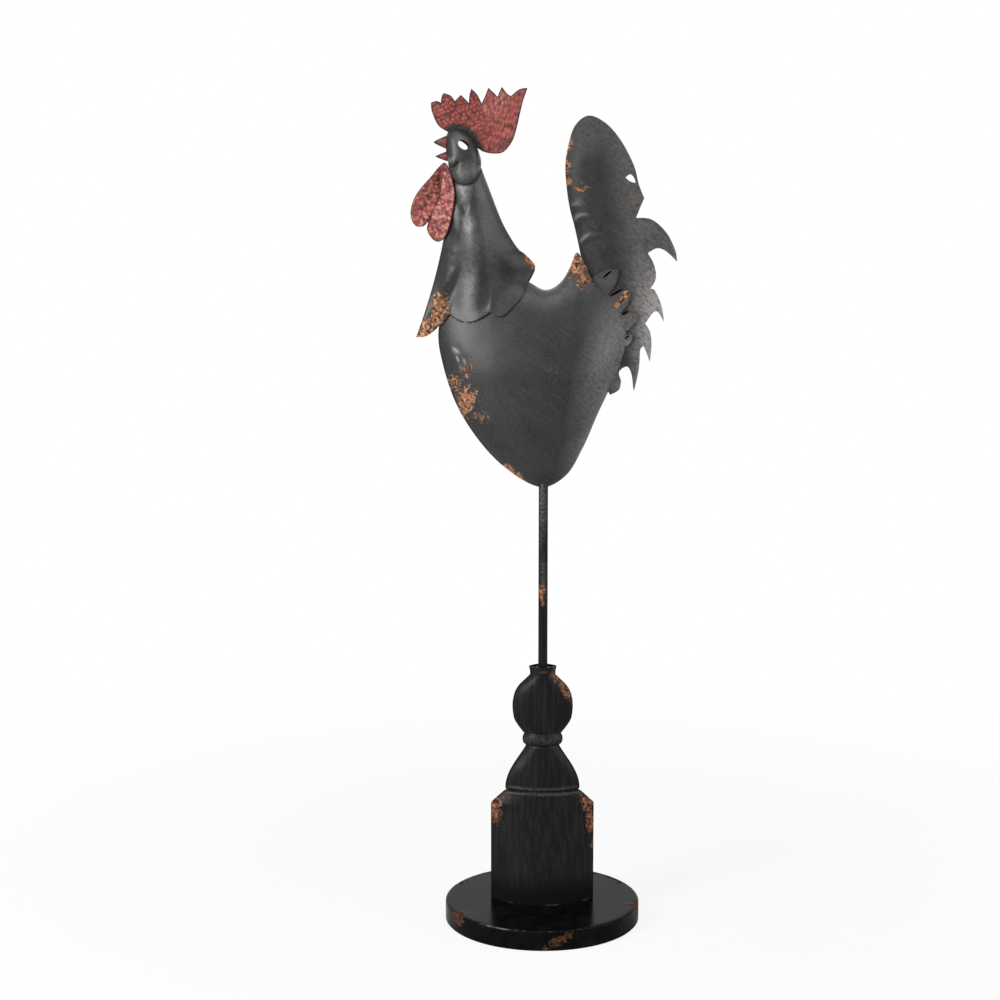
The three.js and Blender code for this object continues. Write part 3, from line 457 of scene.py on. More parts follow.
class Dish:
    """Half of a hollow form, deepest over its centre, whose rim may lie off the mid plane. Its contour lines
    follow the outline at the rim and grow rounder inwards: the narrower a ripple, the sooner it fades."""

    def __init__(self, outline, centre, half_depth, fullness, rim):
        offset = outline - centre
        self.centre = centre
        self.half_depth = half_depth
        self.angle = np.arctan2(offset[:, 1], offset[:, 0])
        self.radius = np.hypot(offset[:, 0], offset[:, 1])
        self.rim = rim
        self.fullness = np.broadcast_to(fullness, self.angle.shape)
        self.shares = np.linspace(0, 1, CONTOURS)
        self.angles = np.linspace(-math.pi, math.pi, BEARINGS, endpoint=False)
        ripples = np.fft.rfft(np.interp(self.angles, self.angle, self.radius, period=2 * math.pi))
        fading = self.shares[:, None] ** (RIPPLE_FADING * np.arange(len(ripples)))
        self.contours = self.shares[:, None] * np.fft.irfft(ripples * fading, len(self.angles), axis=1)

    def contour(self, s):
        """Distance of a contour line from the centre, at the outline's points"""
        k = min(int(s * (CONTOURS - 1)), CONTOURS - 2)
        line = mix(self.contours[k], self.contours[k + 1], s * (CONTOURS - 1) - k)
        ends = self.radius - np.interp(self.angle, self.angles, self.contours[-1], period=2 * math.pi)
        return np.interp(self.angle, self.angles, line, period=2 * math.pi) + ends * s ** 12

    def depth(self, x, z):
        """Distance of the surface from the mid plane at each place, 0 outside the outline"""
        turn = (np.arctan2(z - self.centre[1], x - self.centre[0]) + math.pi) / (2 * math.pi) * BEARINGS
        first = np.floor(turn).astype(int)
        before, after = (self.contours[:, k % BEARINGS] for k in (first, first + 1))
        lines = mix(before, after, turn - first)
        distance = np.hypot(x - self.centre[0], z - self.centre[1])
        k = np.clip((lines < distance).sum(0), 1, CONTOURS - 1)
        every = np.arange(len(k))
        low, high = lines[k - 1, every], lines[k, every]
        between = np.clip((distance - low) / np.maximum(high - low, 1e-9), 0, 1)
        share = (k - 1 + between) / (CONTOURS - 1)
        bearing = turn / BEARINGS * 2 * math.pi - math.pi
        rim = np.interp(bearing, self.angle, self.rim, period=2 * math.pi)
        fullness = np.interp(bearing, self.angle, self.fullness, period=2 * math.pi)
        surface = rim + (self.half_depth - rim) * np.maximum(0, 1 - share ** 2) ** fullness
        return np.where(distance < lines[-1], surface, 0.0)

    def rings(self, shares):
        """Points on contour lines from the rim inwards, then the one over the centre, and their faces"""
        rows = []
        for s in shares:
            radius = self.contour(s)
            depth = self.rim + (self.half_depth - self.rim) * max(0.0, 1 - s * s) ** self.fullness
            x = self.centre[0] + radius * np.cos(self.angle)
            z = self.centre[1] + radius * np.sin(self.angle)
            rows.append(np.column_stack([x, depth, z]))
        around = len(self.angle)
        faces = grid_faces(around, len(shares), wrap=True)
        last = (len(shares) - 1) * around
        faces += [(last + i, last + (i + 1) % around, len(shares) * around) for i in range(around)]
        crown = [[self.centre[0], self.half_depth, self.centre[1]]]
        return np.vstack([*rows, crown]), faces


def ring_shares(count, power):
    """Shares of a dish's rings from the rim inwards, close together near the rim"""
    return 1 - np.linspace(0, 1, count + 1)[:-1] ** power


APEX_PLACE = (0.175, 1.004)
BREAST_PLACE = (-0.567, 0.68)
TAIL_FOOT_PLACE = (0.288, 0.308)
BODY_PLACES = [
    (-0.006, 0), (-0.232, 0.101), (-0.443, 0.313), (-0.54, 0.515), BREAST_PLACE, (-0.484, 0.85),
    (-0.287, 0.93), (-0.089, 0.883), (0.01, 0.845), (0.085, 0.876), (0.138, 0.94), APEX_PLACE,
    (0.218, 0.96), (0.267, 0.897), (0.357, 0.82), (0.427, 0.73), (0.435, 0.61), (0.363, 0.445),
    TAIL_FOOT_PLACE, (0.213, 0.17), (0.121, 0.05),
]
BODY_STEPS = 8
BODY_CENTRE_PLACE = (0.064, 0.47)
# Places of the body's outline between which its rear is fuller: start, full, fading and end
REAR_PLACES = (12.3, 15.2, 16.3, 19.2)
TAIL_SEAT = on_body((0.175, 0.99))
BREAST = on_body(BREAST_PLACE)
NOTCH = on_body((-0.076, 0.886))


def on_tail(place):
    """Shares of the tail's reach and of its rise above its seat, or of the body's height below it"""
    unit = TAIL_RISE if place[1] > 0 else BODY_HEIGHT
    return np.array([TAIL_SEAT[0] + place[0] * TAIL_REACH, TAIL_SEAT[1] + place[1] * unit])


TAIL_RUNS = [
    [(0.22, -0.498), (0.125, -0.32), (0.09, -0.17), (0.05, -0.026), (-0.012, 0.173), (-0.083, 0.38),
     (-0.119, 0.615), (-0.095, 0.771), (-0.027, 0.926), (0.11, 1), (0.28, 0.947), (0.43, 0.827),
     (0.562, 0.65), (0.613, 0.515)],
    [(0.669, 0.415), (0.625, 0.34)],
    [(0.587, 0.273), (0.746, 0.262), (0.898, 0.165), (0.985, 0.04)],
    [(1.005, -0.024), (0.89, 0.036), (0.8, 0.056)],
    [(0.711, 0.021), (0.776, -0.038), (0.793, -0.095)],
    [(0.735, -0.14), (0.785, -0.146), (0.85, -0.205)],
    [(0.883, -0.28), (0.796, -0.232)],
    [(0.688, -0.284), (0.742, -0.322), (0.756, -0.377)],
    [(0.742, -0.446), (0.68, -0.382)],
    [(0.64, -0.394), (0.63, -0.475)],
    [(0.583, -0.57), (0.562, -0.505), (0.511, -0.465), (0.43, -0.488)],
    [(0.451, -0.527), (0.43, -0.565)],
    [(0.342, -0.587)],
]
TAIL_HOLE_RUNS = [[(0.478, 0.562), (0.525, 0.586), (0.566, 0.56)], [(0.583, 0.522), (0.53, 0.532)]]
TAIL_SPINE = open_curve([on_tail(p) for p in [
    (0.5, -0.43), (0.45, -0.1), (0.34, 0.12), (0.26, 0.45), (0.14, 1),
]], 12)
TAIL_TOP = on_tail((0, 1))[1]
TAIL_OUTLINE = cornered_outline([[on_tail(p) for p in run] for run in TAIL_RUNS], 5)


def tail_face(x, z):
    """Distance of each tail sheet's inner face from the mid plane: a crown along its spine"""
    across = (x - np.interp(z, TAIL_SPINE[:, 1], TAIL_SPINE[:, 0])) / (TAIL_CROWN_SHARE * TAIL_REACH)
    below = ramp((TAIL_TOP - z) / (0.4 * TAIL_RISE))
    return TAIL_CROWN * np.maximum(0, 1 - across ** 2) ** TAIL_FULLNESS * below


BODY_OUTLINE = closed_outline([on_body(p) for p in BODY_PLACES], BODY_STEPS)


def body_form():
    """Dish of one body half, whose rim follows the tail sheet along the rear"""
    outline = BODY_OUTLINE
    place = np.arange(len(outline)) / BODY_STEPS
    after_apex = place - BODY_PLACES.index(APEX_PLACE)
    before_foot = BODY_PLACES.index(TAIL_FOOT_PLACE) - place
    rim = (tail_face(outline[:, 0], outline[:, 1]) + SHEET + SEAM_GAP) * ramp(after_apex) * ramp(before_foot)
    start, full, fade, end = REAR_PLACES
    rear = ramp((place - start) / (full - start)) * ramp((end - place) / (end - fade))
    fullness = mix(BODY_FULLNESS, REAR_FULLNESS, rear)
    return Dish(outline, on_body(BODY_CENTRE_PLACE), BODY_HALF_DEPTH, fullness, rim)


BODY = body_form()

# Neck
NECK_TOP = np.array([NOTCH[0] - NECK_TOP_LEAN, NOTCH[1] + NECK_RISE])
CAPE_TIP = np.array([BREAST[0] - CAPE_OVERHANG, NOTCH[1] - CAPE_DROP])
NECK_BACK_PLACES = [(0, 0), (0.2, 0.228), (0.456, 0.506), (0.736, 0.71), (0.917, 0.778)]
NECK_BACK_TOP = NECK_TOP[0] + NECK_TOP_LENGTH / 2
NECK_BACK = open_curve([
    NOTCH,
    (NOTCH[0] + NECK_BACK_BULGE, NECK_TOP[1] - 0.88 * NECK_RISE),
    *[
        (mix(NECK_BACK_TOP, NOTCH[0], across), NECK_TOP[1] - down * NECK_RISE)
        for across, down in reversed(NECK_BACK_PLACES)
    ],
], 12)


def neck_down(z):
    """Share of the way from the neck's top down to the cape's tip"""
    return np.maximum(0, (NECK_TOP[1] - z) / (NECK_TOP[1] - CAPE_TIP[1]))


def neck_front(z):
    return mix(NECK_TOP[0] - NECK_TOP_LENGTH / 2, CAPE_TIP[0], neck_down(z) ** NECK_FRONT_SWEEP)


def neck_back(z):
    return np.interp(z, NECK_BACK[:, 1], NECK_BACK[:, 0])


def neck_section(u, z):
    """Share of the half depth from front seam (u 0) to back seam (u 1): round above, roof-like below"""
    spread = ramp(neck_down(z) / ROOF_SHARE)
    fall = np.abs(1 - 2 * u) ** mix(ROUND_POWER, RIDGE_POWER, spread)
    return np.maximum(0, 1 - fall) ** mix(NECK_FULLNESS, CAPE_FULLNESS, spread)


def neck_half_depth(z):
    return mix(NECK_TOP_HALF_DEPTH, NECK_BASE_HALF_DEPTH, neck_down(z) ** NECK_DEPTH_SWEEP)


def neck_depth(x, z):
    share = (x - neck_front(z)) / (neck_back(z) - neck_front(z))
    return np.where(z > NECK_TOP[1], 0.0, neck_half_depth(z) * neck_section(np.clip(share, 0, 1), z))


# Hem of the cape: u from the front seam to the back seam, drop and bulge in shares of the cape's drop
HEM = [(0, 1, 0.15), (0.24, 0.563, 0.15), (0.62, 0.505, 0.12), (0.84, 0.4, 0.035), (1, 0, 0)]


def hem_height(u):
    """Height of the cape's hem from seam to seam"""
    drop = np.zeros_like(u)
    for (u0, drop0, bulge), (u1, drop1, _) in zip(HEM, HEM[1:]):
        t = (u - u0) / (u1 - u0)
        here = (u >= u0) & (u <= u1)
        drop = np.where(here, mix(drop0, drop1, t) + bulge * np.sin(math.pi * t), drop)
    return NOTCH[1] - CAPE_DROP * drop


def hem_line(x):
    """Height of the cape's hem over each x, seen from the side"""
    u = np.linspace(0, 1, 240)
    z = hem_height(u)
    across = mix(neck_front(z), neck_back(z), u)
    return np.interp(x, np.maximum.accumulate(across), z)


def on_head(place):
    """Shares of the head's length and height about the neck's top to millimetres"""
    return np.array([NECK_TOP[0] + place[0] * HEAD_LENGTH, NECK_TOP[1] + place[1] * HEAD_HEIGHT])


HEAD_PLACES = [
    (-0.479, 0.565), (-0.534, 0.263), (-0.482, 0.034), (-0.44, -0.12), (-0.36, -0.235),
    (-0.184, -0.313), (0.03, -0.333), (0.235, -0.277), (0.39, -0.125), (0.433, 0.032),
    (0.361, 0.225), (0.23, 0.418), (0, 0.589), (-0.262, 0.632),
]
HEAD_OUTLINE = closed_outline([on_head(p) for p in HEAD_PLACES], 7)
COMB_SEAT = on_head((0, 0.183))
HEAD_CENTRE_PLACE = (-0.03, 0.1)
EYE = on_head((-0.05, 0.355))
# How far the far eye hole lies forward and down from the near one, so that less light shows through
FAR_EYE_SHIFT = (2.0, 2.5)
JAW_CREASE_DEPTH = 1.7
JAW_CREASE_REACH = 1.1
JAW_CREASE = open_curve([(-82, 661.5), (-79, 659.2), (-76, 659.4), (-72, 663.5)], 6)
# Swellings beside the crease and of the cheek: x, z, radius, height
CHEEK_SWELLS = [(-77.5, 664.5, 3.2, 1.2), (-77, 655, 4.0, 0.8), (-62, 652, 8.0, 1.3)]
# Beak points: root, length and height
BEAKS = {
    "beak_upper": (on_head((-0.515, 0.385)), 11.0, 11.0),
    "beak_lower": (on_head((-0.515, 0.135)), 9.5, 8.0),
}


def on_comb(place):
    """Shares of the comb's length and height from its seat to millimetres"""
    return np.array([COMB_SEAT[0] + place[0] * COMB_LENGTH, COMB_SEAT[1] + place[1] * COMB_HEIGHT])


COMB_RUNS = [
    [(-0.183, 0.325), (-0.286, 0.431), (-0.348, 0.64)],
    [(-0.355, 0.765), (-0.3, 0.79)],
    [(-0.254, 0.76), (-0.244, 0.86)],
    [(-0.222, 0.91), (-0.15, 0.87)],
    [(-0.109, 0.79)],
    [(-0.046, 0.88), (0, 0.815)],
    [(0.038, 0.753), (0.045, 0.88)],
    [(0.064, 0.97), (0.12, 0.89)],
    [(0.17, 0.748), (0.205, 0.86)],
    [(0.24, 0.985), (0.285, 0.925)],
    [(0.335, 0.85), (0.355, 0.92)],
    [(0.38, 1), (0.435, 0.9)],
    [(0.474, 0.865), (0.56, 0.965)],
    [(0.645, 0.985), (0.6, 0.8), (0.57, 0.62), (0.54, 0.42), (0.49, 0.19), (0.4, 0.03), (0.3, 0),
     (0.17, 0.04), (0.05, 0.18), (-0.08, 0.27)],
]
COMB_FOLD_DEPTH = 0.9
COMB_FOLD = open_curve([on_comb((0.17, 0.75)), on_comb((0.2, 0.6)), on_comb((0.26, 0.46))], 6)
CHIN = on_head((-0.564, 0.021))


def on_wattle(place):
    """Shares of a wattle's length from the chin to millimetres"""
    return CHIN + np.array(place) * WATTLE_LENGTH


# Each wattle's rub is painted light, more on the far one
WATTLES = {
    "wattle_left": {
        "side": -1, "inner": -0.15, "outer": 0.12, "rub": 0.0,
        "places": [(0, 0), (0.055, -0.085), (0.095, -0.2), (0.125, -0.37), (0.1, -0.597),
                   (0.047, -0.826), (-0.017, -0.953), (-0.094, -0.997), (-0.17, -0.953), (-0.226, -0.852),
                   (-0.21, -0.73), (-0.155, -0.597), (-0.077, -0.42), (-0.035, -0.16)],
    },
    "wattle_right": {
        "side": 1, "inner": -0.4, "outer": 0.05, "rub": 0.16,
        "places": [(0, 0), (-0.076, -0.055), (-0.19, -0.192), (-0.306, -0.32), (-0.395, -0.458),
                   (-0.435, -0.623), (-0.42, -0.736), (-0.359, -0.806), (-0.283, -0.8), (-0.225, -0.75),
                   (-0.11, -0.568), (-0.01, -0.341), (0.025, -0.159)],
    },
}
# Leaf feathers: root in shares of the body, size in shares of a leaf's length and width, and for the slot by
# the upper edge: place in shares of the leaf's length and half width, turn from the leaf, share of its length
LEAVES = [
    {"at": (0.299, 0.865), "angle": 45, "scale": (1.1, 1.1), "slot": (0.55, 0.32, -2, 0.5)},
    {"at": (0.38, 0.785), "angle": 43, "scale": (0.95, 0.88), "slot": (0.45, 0.955, -13, 0.7)},
    {"at": (0.42, 0.705), "angle": 34, "scale": (0.9, 0.76), "slot": (0.43, 1.02, -5, 0.45)},
    {"at": (0.434, 0.634), "angle": 40, "scale": (0.4, 0.5), "slot": (0.4, 0.38, 2, 0.85)},
]


def turned(place, angle, along, across):
    """Points along and across a direction from a place"""
    c, s = math.cos(math.radians(angle)), math.sin(math.radians(angle))
    return np.stack([place[0] + along * c - across * s, place[1] + along * s + across * c], axis=-1)


def leaf_slot(leaf):
    """Outline of the slot cut beside a leaf feather"""
    along, across, turn, share = leaf["slot"]
    length, width = leaf["scale"][0] * LEAF_LENGTH, leaf["scale"][1] * LEAF_WIDTH
    middle = turned(on_body(leaf["at"]), leaf["angle"], along * length, across * width / 2)
    around = np.arange(14) / 14 * 2 * math.pi
    long, wide = share * length / 2 * np.cos(around), SLOT_WIDTH / 2 * np.sin(around)
    return turned(middle, leaf["angle"] + turn, long, wide * np.sqrt(np.abs(np.sin(around))))


LEAF_SLOTS = [leaf_slot(leaf) for leaf in LEAVES]
# The slots of the two tail sheets do not line up, so none of them lets light through
FAR_SLOT_SHIFT = np.array([2.4, -2.4])
# Arched dimples pressed into the tail, and the body's tip as it lies over it
TAIL_ARCS = [
    open_curve([(x - 11, z - 1), (x - 5, z + 4), (x + 3, z + 4), (x + 9, z - 3)], 5)
    for x, z in ((29, 622), (35.5, 613), (43, 597))
]
APEX_EDGE = open_curve([(24.5, 600), (31, 588), (39, 573), (42.5, 562)], 6)

# Worn places: x, z, half length, half height, turn in degrees, strength
BODY_WEAR = [
    (-65, 463, 10, 15, -12, 1.0),
    (-75, 480, 8, 9, -20, 0.6),
    (-66, 490, 9, 8, 0, 0.35),
    (-53, 449, 8, 6, -40, 0.5),
    (-27, 400, 15, 5.5, -33, 0.9),
    (28.5, 577, 9, 12, 0, 1.15),
    (32, 566, 11, 8, -20, 0.8),
    (9, 489, 12, 10, 0, 0.12),
    (67.5, 552.5, 4, 8.5, -20, 1.3),
    (61.5, 545.5, 7, 4, 20, 0.75),
    (75, 535.5, 7, 2.2, 20, 0.55),
]
CAPE_WEAR = [
    (-98, 525, 15, 10, 50, 1.1),
    (-88, 542, 13, 11, 60, 0.95),
    (-11.5, 581, 14, 5, -56, 0.95),
    (-37.5, 546, 4, 7, 0, 0.11),
]
TAIL_WEAR = [
    (18.5, 661, 4, 9, 0, 1.0),
    (20, 646, 5, 5, 0, 0.95),
    (20, 676, 3, 12, -8, 0.7),
    (31, 641, 9, 5, 0, 0.4),
    (76, 628, 6, 8, 60, 0.4),
]
# Paler places, mostly painted light and painted highlights; the body's left chips are partly worn paint
BODY_RUB_AND_PAINTED_LIGHT = [
    (64, 482, 34, 80, -14, 1.0), (0, 560, 34, 14, 0, 0.35), (48, 432, 22, 44, -32, 0.95),
    (55, 565, 14, 14, 0, 0.25), (-75, 505.5, 3.6, 1.0, -12, 3.0), (-72.5, 499, 2.6, 0.9, 20, 2.4),
    (-71, 493, 3, 1.1, -24, 2.8), (-67, 497, 1.1, 2.6, 10, 2.2),
]
TAIL_FEATHER_PAINTED_LIGHT = [(60, 479, 9, 15, 0, 1.5)]
HEAD_PAINTED_HIGHLIGHTS = [(-64, 656, 12, 9, 20, 0.5), (-70, 682, 7, 4, 0, 0.4), (-79, 665, 5, 3, 20, 0.7)]
CAPE_PAINTED_LIGHT = [
    (-34, 625, 8, 34, 28, 0.35), (-47, 600, 8, 40, 8, 0.3), (-52, 640, 6, 22, 12, 0.4),
    (-68, 644, 8, 15, 0, 1.25), (-63, 613, 6, 9, 0, 1.1), (-74, 621, 3, 13, 8, 1.3),
    (-60, 600, 11, 26, 0, 0.35), (-63, 570, 8, 34, 0, 0.5),
]
# Darker places: painted shade on the head's front and top and in the neck's dents, and dark smudges on the
# comb
HEAD_PAINTED_SHADE = [(-83, 676, 6, 17, 0, 0.85), (-68, 688, 12, 4, -30, 0.7)]
COMB_SOOT = [(-33, 678, 15, 8, 20, 0.42), (-22, 694, 5, 18, -20, 0.34)]
NECK_PAINTED_SHADE = [(-69, 624, 4, 8, 15, 0.85), (-72, 602, 4, 10, 0, 0.6), (-61, 626, 3, 5, 0, 0.5)]
# Pleat of the neck, seen from the side: a trough along its front and a ridge behind that, as (x, z) upwards
TROUGH_LINE = [(-79.0, 535.0), (-76.5, 560.0), (-76.0, 590.0), (-78.5, 615.0), (-81.5, 640.0)]
RIDGE_LINE = [(-57.0, 530.0), (-56.5, 560.0), (-57.5, 590.0), (-60.0, 620.0), (-62.0, 652.0)]
# Panels of the cape beaten into shallow dints, of which the first two get painted shade
BATTERED = [(-86, 575, 9, 34, -8, 1.0), (-79, 608, 6, 14, 0, 0.9), (-70, 622, 7, 18, 0, 0.6)]

# Soft dents: x, z, radius, depth
BODY_DENTS = [
    (-74, 505, 5, 0.7), (-70, 492, 4, 0.6), (-66, 499, 3.5, 0.5), (-78, 494, 3.5, 0.5), (40, 470, 16, 0.5),
]
CAPE_DENTS = [
    (-79, 604, 4.5, 0.8), (-83, 590, 6, 0.7), (-79, 577, 5, 0.6), (-87, 568, 6, 0.7), (-77, 590, 4, -0.5),
    (-84, 556, 6, 0.6), (-75, 632, 3.2, 1.3), (-77, 622, 3.5, -0.9), (-72, 641, 4, -0.5),
    (-67, 627, 3.6, 1.1), (-74, 612, 4, 0.8), (-63, 612, 4.5, 0.6),
]


class BirdSettings(bpy.types.PropertyGroup):
    """Sizes and colours of the bird's finish"""

    hammer_spacing: FloatProperty(
        name="Hammer spacing", description="Distance between hammer blows on comb and wattles",
        unit="LENGTH", subtype="DISTANCE", precision=5, default=3.3 * MM, min=1.0 * MM, max=10.0 * MM)
    hammer_depth: FloatProperty(
        name="Hammer depth", description="Depth of the hammer blows on comb and wattles",
        unit="LENGTH", subtype="DISTANCE", precision=5, default=0.55 * MM, min=0.0, max=2.0 * MM)
    sheet_ripple: FloatProperty(
        name="Sheet ripple", description="Height of the slow ripples of hand-formed sheet",
        unit="LENGTH", subtype="DISTANCE", precision=5, default=0.28 * MM, min=0.0, max=1.0 * MM)
    mesh_spacing: FloatProperty(
        name="Mesh spacing", description="Distance between mesh points on the flat sheets",
        unit="LENGTH", subtype="DISTANCE", precision=5, default=1.6 * MM, min=0.5 * MM, max=5.0 * MM)
    black: FloatVectorProperty(
        name="Black enamel", description="Colour of the bird's black enamel", subtype="COLOR",
        size=3, min=0.0, max=1.0, default=linear("#1c1c1c")[:3])
    red: FloatVectorProperty(
        name="Red enamel", description="Colour of the comb and wattles", subtype="COLOR",
        size=3, min=0.0, max=1.0, default=linear("#823b36")[:3])


class StandSettings(bpy.types.PropertyGroup):
    """Sizes and colours of the stand's finish"""

    streak_width: FloatProperty(
        name="Brush streak width", description="Width of the upright brush streaks",
        unit="LENGTH", subtype="DISTANCE", precision=5, default=2.6 * MM, min=0.3 * MM, max=10.0 * MM)
    black: FloatVectorProperty(
        name="Stand black", description="Colour of the stand's black paint", subtype="COLOR",
        size=3, min=0.0, max=1.0, default=linear("#0e0e0e")[:3])


class StudioSettings(bpy.types.PropertyGroup):
    """Camera and lamps"""

    camera_distance: FloatProperty(
        name="Camera distance", description="From the bird's mid plane", unit="LENGTH", subtype="DISTANCE",
        default=2.2)
    camera_height: FloatProperty(
        name="Camera height", description="Above the floor", unit="LENGTH", subtype="DISTANCE", default=0.807)
    camera_pitch: FloatProperty(
        name="Camera pitch", description="Downward tilt", unit="ROTATION", subtype="ANGLE",
        default=math.radians(11.1))
    key_power: FloatProperty(
        name="Key lamp", description="Power of the left softbox", unit="POWER", default=33.0, min=0.0)
    fill_power: FloatProperty(
        name="Fill lamp", description="Power of the right softbox", unit="POWER", default=10.5, min=0.0)
    top_power: FloatProperty(
        name="Top lamp", description="Power of the softbox overhead", unit="POWER", default=5.0, min=0.0)


# Materials

def add_node(tree, kind, inputs=None, **settings):
    """Adds a shader node with its settings, and values or links for its inputs"""
    node = tree.nodes.new(kind)
    for key, value in settings.items():
        setattr(node, key, value)
    for key, value in (inputs or {}).items():
        if isinstance(value, bpy.types.NodeSocket):
            tree.links.new(value, node.inputs[key])
        else:
            node.inputs[key].default_value = value
    return node


def new_material(name):
    material = bpy.data.materials.new(name)
    material.use_nodes = True
    material.node_tree.nodes.clear()
    return material, material.node_tree


def per_metre(size_mm):
    """Texture scale whose features have the given size in millimetres"""
    return 1.0 / (size_mm * MM)


def noise_value(tree, size_mm, detail=4.0, roughness=0.6, stretch=(1, 1, 1), turn=(0, 0, 0)):
    """Noise from 0 to 1 with features of a size in millimetres, longer along the stretched axes"""
    place = add_node(tree, "ShaderNodeTexCoord")
    aligned = add_node(tree, "ShaderNodeVectorRotate", {
        "Vector": place.outputs["Object"], "Rotation": tuple(math.radians(a) for a in turn),
    }, rotation_type="EULER_XYZ")
    scaled = add_node(tree, "ShaderNodeVectorMath", {
        0: aligned.outputs[0], 1: tuple(1.0 / s for s in stretch),
    }, operation="MULTIPLY")
    texture = add_node(tree, "ShaderNodeTexNoise", {
        "Vector": scaled.outputs[0], "Scale": per_metre(size_mm), "Detail": detail, "Roughness": roughness,
    })
    return texture.outputs["Fac"]


def stepped(tree, value, low, high, to_low=0.0, to_high=1.0):
    """Smooth step of a value between two limits"""
    return add_node(tree, "ShaderNodeMapRange", {
        "Value": value, "From Min": low, "From Max": high, "To Min": to_low, "To Max": to_high,
    }, interpolation_type="SMOOTHSTEP").outputs["Result"]


def blended(tree, factor, a, b):
    """Colour a where the factor is 0 and b where it is 1"""
    blend = add_node(tree, "ShaderNodeMix", {"Factor": factor, "A": a, "B": b}, data_type="RGBA")
    return blend.outputs["Result"]


def tinted(tree, colour, value, low, high, strength, hex_colour):
    """Lays another colour over the first one, up to a strength, where a value rises from low to high"""
    return blended(tree, stepped(tree, value, low, high, 0.0, strength), colour, linear(hex_colour))


def shaded(colour, factor=1.0):
    """RGBA of a colour setting, made darker or lighter"""
    return (*[factor * c for c in colour], 1.0)


def computed(tree, operation, *values):
    return add_node(tree, "ShaderNodeMath", dict(enumerate(values)), operation=operation).outputs[0]


def varied(tree, value, low, high):
    """A value from 0 to 1 spread between two others"""
    spread = add_node(tree, "ShaderNodeMapRange", {"Value": value, "To Min": low, "To Max": high})
    return spread.outputs["Result"]


def attribute(tree, name):
    """Float that the mesh carries, 0 where it has none of the name"""
    return add_node(tree, "ShaderNodeAttribute", attribute_name=name).outputs["Fac"]


# What shows where the paint is worn through, from the darkest tone to the brightest
BIRD_RUST = ("#5a4034", "#96643f", "#c8946f")
STAND_RUST = ("#4a3026", "#84543a", "#a8714a")
BOARD_FIBRE = ("#33241c", "#533929", "#6d4a34")
SCALE_IN_RUST = "#2c2624"
STAIN_AROUND_RUST = "#5a4636"
RUST_ROUGHNESS = 0.85
PAINT_THICKNESS = 0.12


def rust_over(tree, colour, rough, height, tones):
    """Rubs rust through a finish where wear is high: returns the new colour, roughness and height in mm.
    Noise frays the edges of the rust, and the paint around it is stained."""
    worn = attribute(tree, "wear")
    fine = computed(tree, "MULTIPLY_ADD", noise_value(tree, 4.2, detail=5.0, roughness=0.65), 3.4, -1.7)
    uneven = computed(tree, "MULTIPLY_ADD", noise_value(tree, 13.0, detail=2.0), 1.0, fine)
    uneven = computed(tree, "SUBTRACT", uneven, 0.5)
    amount = computed(tree, "MULTIPLY_ADD", uneven, stepped(tree, worn, 0.0, 0.12), worn)
    through = stepped(tree, amount, 0.44, 0.6)
    tone = noise_value(tree, 3.8, detail=5.0, roughness=0.65)
    rust = tinted(tree, linear(tones[0]), tone, 0.4, 0.56, 1.0, tones[1])
    rust = tinted(tree, rust, noise_value(tree, 2.4, detail=3.0), 0.5, 0.62, 1.0, tones[2])
    rust = tinted(tree, rust, noise_value(tree, 3.1, detail=4.0), 0.53, 0.59, 1.0, SCALE_IN_RUST)
    stained = tinted(tree, colour, amount, 0.2, 0.5, 0.45, STAIN_AROUND_RUST)
    roughened = add_node(tree, "ShaderNodeMix", {"Factor": through, "A": rough, "B": RUST_ROUGHNESS})
    return (
        blended(tree, through, stained, rust),
        roughened.outputs["Result"],
        computed(tree, "MULTIPLY_ADD", through, -PAINT_THICKNESS, height),
    )


def finished(tree, colour, rough, height, specular=0.5, metallic=0.0):
    """Principled surface with a bump from a height in millimetres"""
    metres = computed(tree, "MULTIPLY", height, MM)
    bump = add_node(tree, "ShaderNodeBump", {"Height": metres, "Distance": 1.0, "Strength": 1.0})
    surface = add_node(tree, "ShaderNodeBsdfPrincipled", {
        "Base Color": colour, "Roughness": rough, "Normal": bump.outputs["Normal"],
        "Specular IOR Level": specular, "Metallic": metallic,
    })
    add_node(tree, "ShaderNodeOutputMaterial", {"Surface": surface.outputs["BSDF"]})


# Slant of the brush marks on the bird, in degrees about each axis
BRUSH_TURN = (0, -38, 0)
# Pale grey of the faint brush marks, and of the painted highlights and painted light
BRUSH_AND_HIGHLIGHT_GREY = "#918e8c"


